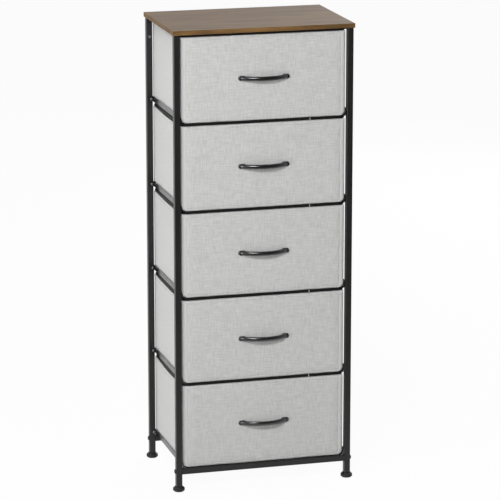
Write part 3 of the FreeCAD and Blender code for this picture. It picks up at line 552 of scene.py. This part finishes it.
def push_padding(cover, sewn, most):
    """Simulate the cover, cap each point's move, and give the largest and the mean move."""
    flat = [vertex.co.copy() for vertex in cover.data.vertices]
    held = cover.vertex_groups.new(name="sewn")
    held.add(sewn, 1.0, "REPLACE")
    cloth = cover.modifiers.new("padding", "CLOTH")
    cloth.settings.vertex_group_mass = held.name
    cloth.settings.use_pressure = True
    cloth.settings.uniform_pressure_force = 1
    cloth.settings.shrink_min = -0.004
    cloth.settings.effector_weights.gravity = 0
    cloth.settings.quality = 4
    cloth.collision_settings.use_collision = False
    cloth.point_cache.frame_start = 1
    cloth.point_cache.frame_end = SETTLE
    for step in range(1, SETTLE + 1):
        bpy.context.scene.frame_set(step)
    bpy.context.view_layer.objects.active = cover
    bpy.ops.object.modifier_apply(modifier="padding")
    bpy.context.scene.frame_set(1)
    cover.vertex_groups.clear()
    moves = []
    for vertex, start in zip(cover.data.vertices, flat):
        move = vertex.co - start
        moves.append(move.length)
        if move.length > most:
            vertex.co = start + move * (most / move.length)
    return max(moves), sum(moves) / len(moves)


print("padding moved:", push_padding(cover, sewn, MOST_PUSH))

# %% [markdown]
# The cover is closed at the back, flat against the box, and copied to the five drawers. Every
# other copy is mirrored, so that neighbours don't show the same puckers.

# %% Close the cover and copy it
def close_cover(cover):
    """Draw the edge back to the box and close it there."""
    low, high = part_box("drawer_1_front")
    bpy.ops.object.mode_set(mode="EDIT")
    bpy.ops.mesh.select_all(action="SELECT")
    bpy.ops.mesh.region_to_loop()
    bpy.ops.mesh.extrude_region_move()
    bpy.ops.object.mode_set(mode="OBJECT")
    for vertex in cover.data.vertices:
        if vertex.select:
            vertex.co.y = high.y
    bpy.ops.object.mode_set(mode="EDIT")
    bpy.ops.mesh.edge_face_add()
    bpy.ops.mesh.select_all(action="SELECT")
    bpy.ops.mesh.normals_make_consistent(inside=False)
    bpy.ops.object.mode_set(mode="OBJECT")
    bpy.ops.object.shade_smooth_by_angle(angle=math.radians(50))


def copy_piece(piece, name, move):
    """A copy with its own mesh, moved in that mesh."""
    twin = piece.copy()
    twin.data = piece.data.copy()
    twin.name = name
    twin.data.name = name
    twin.data.transform(move)
    bpy.context.scene.collection.objects.link(twin)
    return twin


def finish_piece(piece, material, body, slot, *nodes):
    """Material and body of a piece, and the solids it takes the place of; slot is not used."""
    piece.data.materials.clear()
    piece.data.materials.append(material)
    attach(piece, body)
    if nodes:
        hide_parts(*nodes)


def drawer_lift(number):
    """The move from drawer 1 to another drawer."""
    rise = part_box(f"drawer_{number}_front")[0].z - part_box("drawer_1_front")[0].z
    return Matrix.Translation((0, 0, rise))


def paint_side_edge_highlight(front, number):
    """Give the strips outside the side seams the paler cloth, a painted highlight."""
    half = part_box(f"drawer_{number}_front")[1].x
    front.data.materials.append(edge_highlight_cloth)
    for face in front.data.polygons:
        face.material_index = 1 if abs(face.center.x) > half - SIDE_SEAM else 0


close_cover(cover)
for number in DRAWERS:
    turn = Matrix.Diagonal((-1 if number % 2 == 0 else 1, 1, 1, 1))
    front = copy_piece(cover, f"sewn_front_{number}", drawer_lift(number) @ turn)
    if number % 2 == 0:
        front.data.flip_normals()
    finish_piece(front, linen, f"drawer_{number}", "linen_fabric", f"drawer_{number}_front")
    paint_side_edge_highlight(front, number)
bpy.data.objects.remove(cover)
print("fronts:", len(DRAWERS), "of", len(front.data.polygons), "faces")

# %% [markdown]
# The stitches are real: one short bead of thread, repeated along the seam by an Array that
# fits a curve and bent onto it by a Curve modifier. Painting dashes would be easier, but they
# would not stand up in a close view. A bead has 24 faces, because there are hundreds.

# %% Stitches
STITCH_LONG = 3.0 * MM
STITCH_THICK = 0.8 * MM
STITCH_PITCH = 4.2 * MM
BEAD_SIDES, BEAD_RINGS = 6, 4
BEAD_FACES = BEAD_SIDES * BEAD_RINGS
SEAM_LIES = 0.6 * MM


def sew_row(name, path):
    """A row of stitches along a path."""
    bpy.ops.object.select_all(action="DESELECT")
    bpy.ops.mesh.primitive_uv_sphere_add(segments=BEAD_SIDES, ring_count=BEAD_RINGS, radius=0.5)
    bead = bpy.context.object
    bead.name = name
    bead.data.name = name
    bpy.ops.object.mode_set(mode="EDIT")
    bpy.ops.transform.resize(value=(STITCH_LONG, STITCH_THICK, STITCH_THICK))
    bpy.ops.transform.translate(value=(STITCH_LONG / 2, 0, 0))
    bpy.ops.object.mode_set(mode="OBJECT")
    line = bpy.data.curves.new(name + "_seam", "CURVE")
    line.dimensions = "3D"
    spline = line.splines.new("POLY")
    spline.points.add(len(path) - 1)
    for point, spot in zip(spline.points, path):
        point.co = (*spot, 1)
    seam = bpy.data.objects.new(name + "_seam", line)
    bpy.context.scene.collection.objects.link(seam)
    row = bead.modifiers.new("row", "ARRAY")
    row.fit_type = "FIT_CURVE"
    row.curve = seam
    row.use_relative_offset = False
    row.use_constant_offset = True
    row.constant_offset_displace = (STITCH_PITCH, 0, 0)
    bend = bead.modifiers.new("bend", "CURVE")
    bend.object = seam
    bpy.ops.object.modifier_apply(modifier="row")
    bpy.ops.object.modifier_apply(modifier="bend")
    bpy.data.objects.remove(seam)
    bpy.ops.object.shade_smooth()
    return bead


low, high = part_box("drawer_1_front")
side = high.x - SIDE_SEAM
seam_y = low.y + SEAM_LIES
corners = [(-side, high.z - TOP_SEAM), (side, high.z - TOP_SEAM), (side, low.z + TOP_SEAM),
           (-side, low.z + TOP_SEAM), (-side, high.z - TOP_SEAM)]
row = sew_row("front_stitches", [(x, seam_y, z) for x, z in corners])
for number in DRAWERS:
    stitches = copy_piece(row, f"front_stitches_{number}", drawer_lift(number))
    finish_piece(stitches, thread, f"drawer_{number}", "linen_fabric")
bpy.data.objects.remove(row)
print("stitches round a front:", len(stitches.data.polygons) // BEAD_FACES)

# %% [markdown]
# The box behind each front is one strip of cloth that runs down one side, under the floor and
# up the other side, with a back panel sewn in. So the strip is laid out flat as it is cut
# and every point is folded round the box. Only front and back hold the rim up, so between
# them the sides belly out and the rim sags a few millimetres, each drawer a little
# differently. A turned-over hem makes the last 7 mm of the rim stand out half a millimetre.

# %% Fold the boxes
HEM = 7 * MM
HEM_THICK = 0.5 * MM
RIM_STEPS = [0, 1.0, 3.5, 6.2, 7.0, 7.6, 9.5]
WALL_CELLS, FOLD_CELLS, FLOOR_CELLS, DEEP_CELLS = 16, 6, 24, 40
BELLY, BELLY_VARIES = 1.6, 0.8
SAG, SAG_VARIES = 2.0, 1.0
SLACK = 0.5 * MM


def strip_points(half, tall):
    """Places across the flat strip, from rim to rim, close together at the hems and the folds."""
    wall = tall - LOW_ROUND
    bend = LOW_ROUND * math.pi / 2
    floor_width = 2 * (half - LOW_ROUND)
    hem = [step * MM for step in RIM_STEPS]
    side = hem + [hem[-1] + (wall - hem[-1]) * place / WALL_CELLS for place in range(1, WALL_CELLS + 1)]
    fold = [wall + bend * place / FOLD_CELLS for place in range(1, FOLD_CELLS + 1)]
    base = [wall + bend + floor_width * place / FLOOR_CELLS for place in range(1, FLOOR_CELLS)]
    whole = 2 * wall + 2 * bend + floor_width
    first = side + fold
    return first + base + [whole - place for place in reversed(first)]


def fold_point(place, half, tall):
    """Where a place across the strip ends up once it is folded, and the way out of the box there."""
    wall = tall - LOW_ROUND
    bend = LOW_ROUND * math.pi / 2
    whole = 2 * (wall + bend + half - LOW_ROUND)
    sign = -1 if place <= whole / 2 else 1
    place = min(place, whole - place)
    if place <= wall:
        return Vector((sign * half, 0, tall - place)), Vector((sign, 0, 0))
    if place <= wall + bend:
        turn = (place - wall) / LOW_ROUND
        out = Vector((sign * math.cos(turn), 0, -math.sin(turn)))
        return Vector((sign * (half - LOW_ROUND), 0, LOW_ROUND)) + out * LOW_ROUND, out
    return Vector((sign * (half - LOW_ROUND - (place - wall - bend)), 0, 0)), Vector((0, 0, -1))


def cloth_point(number, place, back):
    """A point of a drawer's strip: the fold, and what belly, sag, hem and slack add to it."""
    low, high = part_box(f"drawer_{number}_bin")
    tall = high.z - low.z
    spot, out = fold_point(place, high.x, tall)
    high_up = max(spot.z - LOW_ROUND, 0) / (tall - LOW_ROUND)
    middle = math.sin(math.pi * back / (high.y - low.y))
    belly = (BELLY + BELLY_VARIES * noise.noise(Vector((number * 1.7, 0.3, 0.9)))) * MM
    seed = Vector((spot.x + number, back, spot.z)) / (60 * MM)
    away = belly * middle * high_up ** 1.5 + SLACK * middle * high_up * noise.noise(seed)
    if tall - spot.z < HEM:
        away += HEM_THICK
    sag = (SAG + SAG_VARIES * noise.noise(Vector((number * 2.3, spot.x, 0.4)))) * MM
    sag = sag * middle * high_up ** 3
    spot = spot + out * away
    return Vector((spot.x, low.y + back, low.z + spot.z - sag))


def sew_box(number):
    """A drawer's strip, folded, as a sheet without thickness."""
    low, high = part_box(f"drawer_{number}_bin")
    across = strip_points(high.x, high.z - low.z)
    along = [(high.y - low.y) * place / DEEP_CELLS for place in range(DEEP_CELLS + 1)]
    box, order = cut_grid(f"cloth_box_{number}", len(across), len(along))
    for vertex, (column, row) in zip(box.data.vertices, order):
        vertex.co = cloth_point(number, across[column], along[row])
    return box


print("sides belly about", BELLY, "mm, rims sag about", SAG, "mm")

# %% [markdown]
# The back panel is a plain piece of the same cloth in the shape of the front. Strip and panel
# become walls 2.5 mm thick with Solidify, inwards, so that the outside keeps its size.

# %% Close the boxes
CLOTH_WALL = 2.5 * MM
BACK_PITCH = 16 * MM


def thicken(sheet, thick, inwards):
    """Give a sheet thickness on its inner side."""
    bpy.context.view_layer.objects.active = sheet
    bpy.ops.object.mode_set(mode="EDIT")
    bpy.ops.mesh.select_all(action="SELECT")
    bpy.ops.mesh.normals_make_consistent(inside=False)
    bpy.ops.object.mode_set(mode="OBJECT")
    if sheet.data.polygons[0].normal.dot(Vector(inwards)) > 0:
        sheet.data.flip_normals()
    wall = sheet.modifiers.new("wall", "SOLIDIFY")
    wall.thickness = thick
    wall.offset = -1
    wall.use_even_offset = True
    bpy.ops.object.modifier_apply(modifier="wall")
    bpy.ops.object.shade_smooth_by_angle(angle=math.radians(45))


def sew_back(number):
    """The panel that closes a drawer's back."""
    low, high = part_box(f"drawer_{number}_bin")
    half = high.x
    tall = high.z - low.z
    columns = seam_spacing(2 * half, BACK_PITCH, SIDE_SEAM)
    rows = seam_spacing(tall, BACK_PITCH, TOP_SEAM)
    panel, order = cut_grid(f"box_back_{number}", len(columns), len(rows))
    for vertex, (column, row) in zip(panel.data.vertices, order):
        up = rows[row]
        across = (columns[column] - half) * row_half_width(up, half) / half
        inside = edge_and_seam(across, up, half, tall)[0]
        sunk = 0.6 * MM * math.exp(-(inside / (4 * MM)) ** 2)
        ripple = noise.noise(Vector((across, number, up)) / (80 * MM))
        slack = SLACK * min(inside / (40 * MM), 1) * ripple
        vertex.co = (across, high.y - sunk + slack - SLACK, low.z + up)
    thicken(panel, CLOTH_WALL, (0, -1, 0))
    return panel


def join_pieces(whole, *others):
    """Join pieces into the first one."""
    bpy.ops.object.select_all(action="DESELECT")
    for piece in (whole, *others):
        piece.select_set(True)
    bpy.context.view_layer.objects.active = whole
    bpy.ops.object.join()
    return whole


for number in DRAWERS:
    box = sew_box(number)
    thicken(box, CLOTH_WALL, (1, 0, 0))
    join_pieces(box, sew_back(number))
    finish_piece(box, felted, f"drawer_{number}", "grey_fabric", f"drawer_{number}_bin")
print("boxes:", len(DRAWERS), "of", len(box.data.polygons), "faces")

# %% [markdown]
# The hem is held by a row of stitches just inside its lower edge, on both sides. The rows
# follow the sagging rim, because they take their path from the same function as the cloth.

# %% Hem stitches
HEM_SEAM = 6.3 * MM
THREAD_OUT = 0.1 * MM


def hem_row(number, side):
    """The stitches of one hem: side is -1 on the left and 1 on the right."""
    low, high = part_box(f"drawer_{number}_bin")
    whole = strip_points(high.x, high.z - low.z)[-1]
    place = HEM_SEAM if side < 0 else whole - HEM_SEAM
    steps = [(high.y - low.y) * step / DEEP_CELLS for step in range(1, DEEP_CELLS)]
    out = Vector((side * THREAD_OUT, 0, 0))
    path = [cloth_point(number, place, back) + out for back in steps]
    return sew_row(f"hem_stitches_{number}", path)


for number in DRAWERS:
    hem = join_pieces(hem_row(number, -1), hem_row(number, 1))
    hem.name = f"hem_stitches_{number}"
    finish_piece(hem, thread, f"drawer_{number}", "grey_fabric")
print("stitches on two hems:", len(hem.data.polygons) // BEAD_FACES)

# %% [markdown]
# The handle is a moulded bow on two round-ended feet. Half of it is enough, since it is its own
# mirror image: an ellipse is spun about the middle of the bow's circle, cut off level with
# the drawer front, and given a foot, which is a circle pulled long, raised, tapered and
# rounded. Sweeping along a curve would do as well, but a spin keeps the section exactly the
# same all along the bow. It is spun a little too far, so that the cut leaves a flat end.

# %% Half a handle
BAR_DEEP = 8 * MM
BAR_TALL = 11 * MM
BAR_SPAN = 114 * MM
BAR_RISE = 20 * MM
FOOT_LONG = 20 * MM
FOOT_TALL = 12.5 * MM
FOOT_DEEP = 4 * MM
FOOT_TAPER = 0.9
FOOT_EDGE = 2 * MM
BOW_SIDES = 28
BOW_STEPS = 28
TOO_FAR = 0.06


def spin_bow(panel, level):
    """The right half of the bar, cut off at the panel."""
    radius = ((BAR_SPAN / 2) ** 2 + BAR_RISE ** 2) / (2 * BAR_RISE)
    bpy.ops.object.select_all(action="DESELECT")
    middle = (0, panel - BAR_RISE, level)
    bpy.ops.mesh.primitive_circle_add(vertices=BOW_SIDES, radius=0.5, location=middle,
                                      rotation=(0, math.pi / 2, 0))
    bow = bpy.context.object
    bpy.ops.object.transform_apply(location=True, rotation=True, scale=True)
    bpy.ops.object.mode_set(mode="EDIT")
    bpy.ops.transform.resize(value=(1, BAR_DEEP, BAR_TALL), center_override=middle)
    bpy.ops.mesh.spin(steps=BOW_STEPS, angle=math.asin(BAR_SPAN / 2 / radius) + TOO_FAR,
                      center=(0, panel - BAR_RISE + radius, level), axis=(0, 0, 1))
    bpy.ops.mesh.select_all(action="SELECT")
    bpy.ops.mesh.bisect(plane_co=(0, panel, 0), plane_no=(0, 1, 0), use_fill=True, clear_outer=True)
    bpy.ops.object.mode_set(mode="OBJECT")
    return bow


def press_foot(panel, level, across):
    """The foot at the bar's end."""
    bpy.ops.object.select_all(action="DESELECT")
    bpy.ops.mesh.primitive_circle_add(vertices=32, radius=FOOT_TALL / 2, fill_type="NGON",
                                      location=(across, panel, level), rotation=(math.pi / 2, 0, 0))
    foot = bpy.context.object
    bpy.ops.object.transform_apply(location=True, rotation=True, scale=True)
    for vertex in foot.data.vertices:
        vertex.co.x += math.copysign((FOOT_LONG - FOOT_TALL) / 2, vertex.co.x - across)
    bpy.ops.object.mode_set(mode="EDIT")
    bpy.ops.mesh.select_all(action="SELECT")
    bpy.ops.mesh.extrude_region_move(TRANSFORM_OT_translate={"value": (0, -FOOT_DEEP, 0)})
    bpy.ops.transform.resize(value=(FOOT_TAPER, 1, FOOT_TAPER), center_override=(across, panel, level))
    bpy.ops.mesh.bevel(offset=FOOT_EDGE, segments=4, affect="EDGES")
    bpy.ops.object.mode_set(mode="OBJECT")
    return foot


low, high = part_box("drawer_1_handle")
level = (low.z + high.z) / 2
bow = spin_bow(high.y, level)
print("bow reaches", max(vertex.co.x for vertex in bow.data.vertices))

# %% [markdown]
# Bar and foot are joined and mirrored, as one mould makes both halves at once, and the finished
# handle is copied to the five drawers. Modelling the other half as well would only risk that
# the two differ.

# %% Mirror and copy the handles
handle = join_pieces(bow, press_foot(high.y, level, high.x - FOOT_LONG / 2))
mirror = handle.modifiers.new("other_half", "MIRROR")
mirror.merge_threshold = 0.01 * MM
bpy.ops.object.modifier_apply(modifier="other_half")
bpy.ops.object.mode_set(mode="EDIT")
bpy.ops.mesh.select_all(action="SELECT")
bpy.ops.mesh.normals_make_consistent(inside=False)
bpy.ops.object.mode_set(mode="OBJECT")
bpy.ops.object.shade_smooth_by_angle(angle=math.radians(35))
for number in DRAWERS:
    copy = copy_piece(handle, f"bow_handle_{number}", drawer_lift(number))
    finish_piece(copy, gloss, f"drawer_{number}", "black_plastic", f"drawer_{number}_handle")
bpy.data.objects.remove(handle)
print("handles:", len(DRAWERS), "of", len(copy.data.polygons), "faces")

# %% [markdown]
# A screw is a round head on a shank, with a cross pressed into the head for the driver. The
# head is a circle raised in steps that get narrower, the shank is drawn out below, and the
# cross is cut with a Boolean, which is how a punch does it. Bolts have a higher head and a
# hexagon socket.

# %% Model a screw
HEAD_STEPS = ((0.45, 1.0), (0.25, 0.93), (0.17, 0.83), (0.09, 0.70), (0.04, 0.60))
SHANK_EDGE = 0.4 * MM
HEXAGON = 6


def raise_head(head, shank, length, crown):
    """A head, and the shank below it, as two pieces."""
    bpy.ops.object.select_all(action="DESELECT")
    bpy.ops.mesh.primitive_circle_add(vertices=24, radius=head / 2, fill_type="NGON")
    screw = bpy.context.object
    bpy.ops.object.mode_set(mode="EDIT")
    for rise, narrow in HEAD_STEPS:
        bpy.ops.mesh.extrude_region_move(TRANSFORM_OT_translate={"value": (0, 0, crown * rise)})
        bpy.ops.transform.resize(value=(narrow, narrow, 1))
    bpy.ops.object.mode_set(mode="OBJECT")
    bpy.ops.object.select_all(action="DESELECT")
    bpy.ops.mesh.primitive_circle_add(vertices=16, radius=shank / 2, fill_type="NGON")
    pin = bpy.context.object
    bpy.ops.object.mode_set(mode="EDIT")
    bpy.ops.mesh.extrude_region_move(TRANSFORM_OT_translate={"value": (0, 0, -length)})
    bpy.ops.mesh.bevel(offset=SHANK_EDGE, segments=2, affect="EDGES")
    bpy.ops.mesh.select_all(action="SELECT")
    bpy.ops.mesh.normals_make_consistent(inside=False)
    bpy.ops.object.mode_set(mode="OBJECT")
    return screw, pin


def punch(screw, width, depth, crown, sides):
    """Cut the recess for the driver: a hexagon or a cross."""
    bpy.ops.object.select_all(action="DESELECT")
    if sides == HEXAGON:
        bpy.ops.mesh.primitive_cylinder_add(vertices=HEXAGON, radius=width / 2, depth=2 * depth,
                                            location=(0, 0, crown))
    else:
        bpy.ops.mesh.primitive_cube_add(size=width / 4, location=(0, 0, crown))
        bpy.ops.object.mode_set(mode="EDIT")
        bpy.ops.mesh.extrude_faces_move(TRANSFORM_OT_shrink_fatten={"value": width * 3 / 8})
        bpy.ops.object.mode_set(mode="OBJECT")
    tool = bpy.context.object
    hole = screw.modifiers.new("recess", "BOOLEAN")
    hole.operation = "DIFFERENCE"
    hole.object = tool
    bpy.context.view_layer.objects.active = screw
    bpy.ops.object.modifier_apply(modifier="recess")
    bpy.data.objects.remove(tool)


print(raise_head.__doc__, punch.__doc__)

# %% [markdown]
# Where do the screws go? Each fastener node holds several separate solids. A copy of the node
# is split into its loose parts, and each part tells where its head is: at the wide end.

# %% Find the screws
def screw_places(name):
    """For each screw of a node: the middle under its head, and the way the head faces."""
    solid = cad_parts[name]
    parts = copy_piece(solid, name + "_parts", Matrix.Identity(4))
    bpy.ops.object.select_all(action="DESELECT")
    parts.select_set(True)
    bpy.context.view_layer.objects.active = parts
    bpy.ops.object.mode_set(mode="EDIT")
    bpy.ops.mesh.select_all(action="SELECT")
    bpy.ops.mesh.remove_doubles(threshold=0.001 * MM)
    bpy.ops.mesh.separate(type="LOOSE")
    bpy.ops.object.mode_set(mode="OBJECT")
    places = []
    for part in list(bpy.context.selected_objects):
        points = [vertex.co for vertex in part.data.vertices]
        low = Vector([min(point[axis] for point in points) for axis in range(3)])
        high = Vector([max(point[axis] for point in points) for axis in range(3)])
        axis = max(range(3), key=lambda number: (high - low)[number])
        middle = (low + high) / 2
        wide = max((high - low)[number] for number in range(3) if number != axis) / 2
        rim = []
        for point in points:
            out = point - middle
            out[axis] = 0
            if out.length > 0.95 * wide:
                rim.append(point[axis])
        faces = 1 if sum(rim) / len(rim) > middle[axis] else -1
        middle[axis] = min(rim) if faces > 0 else max(rim)
        way = Vector((0, 0, 0))
        way[axis] = faces
        places.append((middle, way))
        bpy.data.objects.remove(part)
    return places


print(screw_places.__doc__)

# %% [markdown]
# One screw is modelled per kind, turned so that its head faces the right way, and copied to
# each place. All copies of a node are joined to one piece, as the node is one group.

# %% Drive the screws
def model_screw(head, shank, length, crown, recess, sides):
    """One whole screw at the origin, its head up."""
    screw, pin = raise_head(head, shank, length, crown)
    punch(screw, recess, crown / 2, crown, sides)
    join_pieces(screw, pin)
    bpy.ops.object.shade_smooth_by_angle(angle=math.radians(35))
    return screw


def drive(name, body, slot, material, screw):
    """Copy a screw to every place of a node and join the copies."""
    copies = []
    for spot, way in screw_places(name):
        turn = way.to_track_quat("Z", "Y").to_matrix().to_4x4()
        copies.append(copy_piece(screw, name + "_driven", Matrix.Translation(spot) @ turn))
    group = join_pieces(*copies)
    finish_piece(group, material, body, slot, name)
    print(name, len(copies))


SCREW = {"head": 7.6 * MM, "shank": 4 * MM, "crown": 2.4 * MM, "recess": 4.4 * MM, "sides": 4}
BOLT = {"head": 11 * MM, "shank": 6 * MM, "crown": 3.6 * MM, "recess": 4 * MM, "sides": HEXAGON}
short_screw = model_screw(length=9 * MM, **SCREW)
for name in ("runner_screws", "bracket_screws", "board_screws"):
    drive(name, "frame", "zinc_steel", zinc, short_screw)
long_screw = model_screw(length=13 * MM, **SCREW)
for number in DRAWERS:
    drive(f"drawer_{number}_handle_screws", f"drawer_{number}", "zinc_steel", zinc, long_screw)
bolt = model_screw(length=32 * MM, **BOLT)
drive("rail_bolts", "frame", "black_steel", coat, bolt)
for pattern in (short_screw, long_screw, bolt):
    bpy.data.objects.remove(pattern)

# %% [markdown]
# Each ring between the drawers is one rod, bent round and butt-welded to itself at the front,
# right of the middle. The weld is ground, and there bare steel shows as a thin bright line,
# with fine scratches round the rod.

# %% Ground steel
ground, tree = new_material("ground_bare_steel")
place = node(tree, "TexCoord")
lines_at = node(tree, "Mapping", {"Vector": (place, "Object"),
                                  "Scale": (1 / (0.3 * MM), 1 / (4 * MM), 1 / (4 * MM))})
lines = node(tree, "TexNoise", {"Vector": (lines_at, 0), "Scale": 1.0, "Detail": 2.0})
tone = node(tree, "ValToRGB", {"Fac": (lines, "Fac")})
tone.color_ramp.elements[0].color = linear("#C4C4C2")
tone.color_ramp.elements[1].color = linear("#E6E6E4")
steel = node(tree, "BsdfPrincipled", {"Base Color": (tone, "Color"), "Roughness": 0.6, "Metallic": 1.0})
node(tree, "OutputMaterial", {"Surface": (steel, 0)})
print("ground:", ground.name)

# %% [markdown]
# The weld could be painted on the rod by its place, but a short sleeve, a hair thicker than the
# rod and with rounded rims, also stands up in a close view. One is made and copied.

# %% Welds on the rings
ROD_RADIUS = 3.2 * MM
WELD_X = 115 * MM
WELD_LONG = 2.0 * MM
WELD_PROUD = 0.15 * MM
WELD_EDGE = 0.3 * MM
low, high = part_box("ring_1")
first_level = (low.z + high.z) / 2
bpy.ops.object.select_all(action="DESELECT")
bpy.ops.mesh.primitive_cylinder_add(vertices=32, radius=ROD_RADIUS + WELD_PROUD, depth=WELD_LONG,
                                    location=(WELD_X, low.y + ROD_RADIUS, first_level),
                                    rotation=(0, math.pi / 2, 0))
weld = bpy.context.object
bpy.ops.object.transform_apply(location=True, rotation=True, scale=True)
bpy.ops.object.mode_set(mode="EDIT")
bpy.ops.mesh.bevel(offset=WELD_EDGE, segments=2, affect="EDGES")
bpy.ops.object.mode_set(mode="OBJECT")
bpy.ops.object.shade_smooth_by_angle(angle=math.radians(35))
for number in RINGS:
    low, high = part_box(f"ring_{number}")
    lift = (low.z + high.z) / 2 - first_level
    sleeve = copy_piece(weld, f"ring_weld_{number}", Matrix.Translation((0, 0, lift)))
    finish_piece(sleeve, ground, "frame", "zinc_steel")
bpy.data.objects.remove(weld)
print("welds:", len(RINGS))

# %% [markdown]
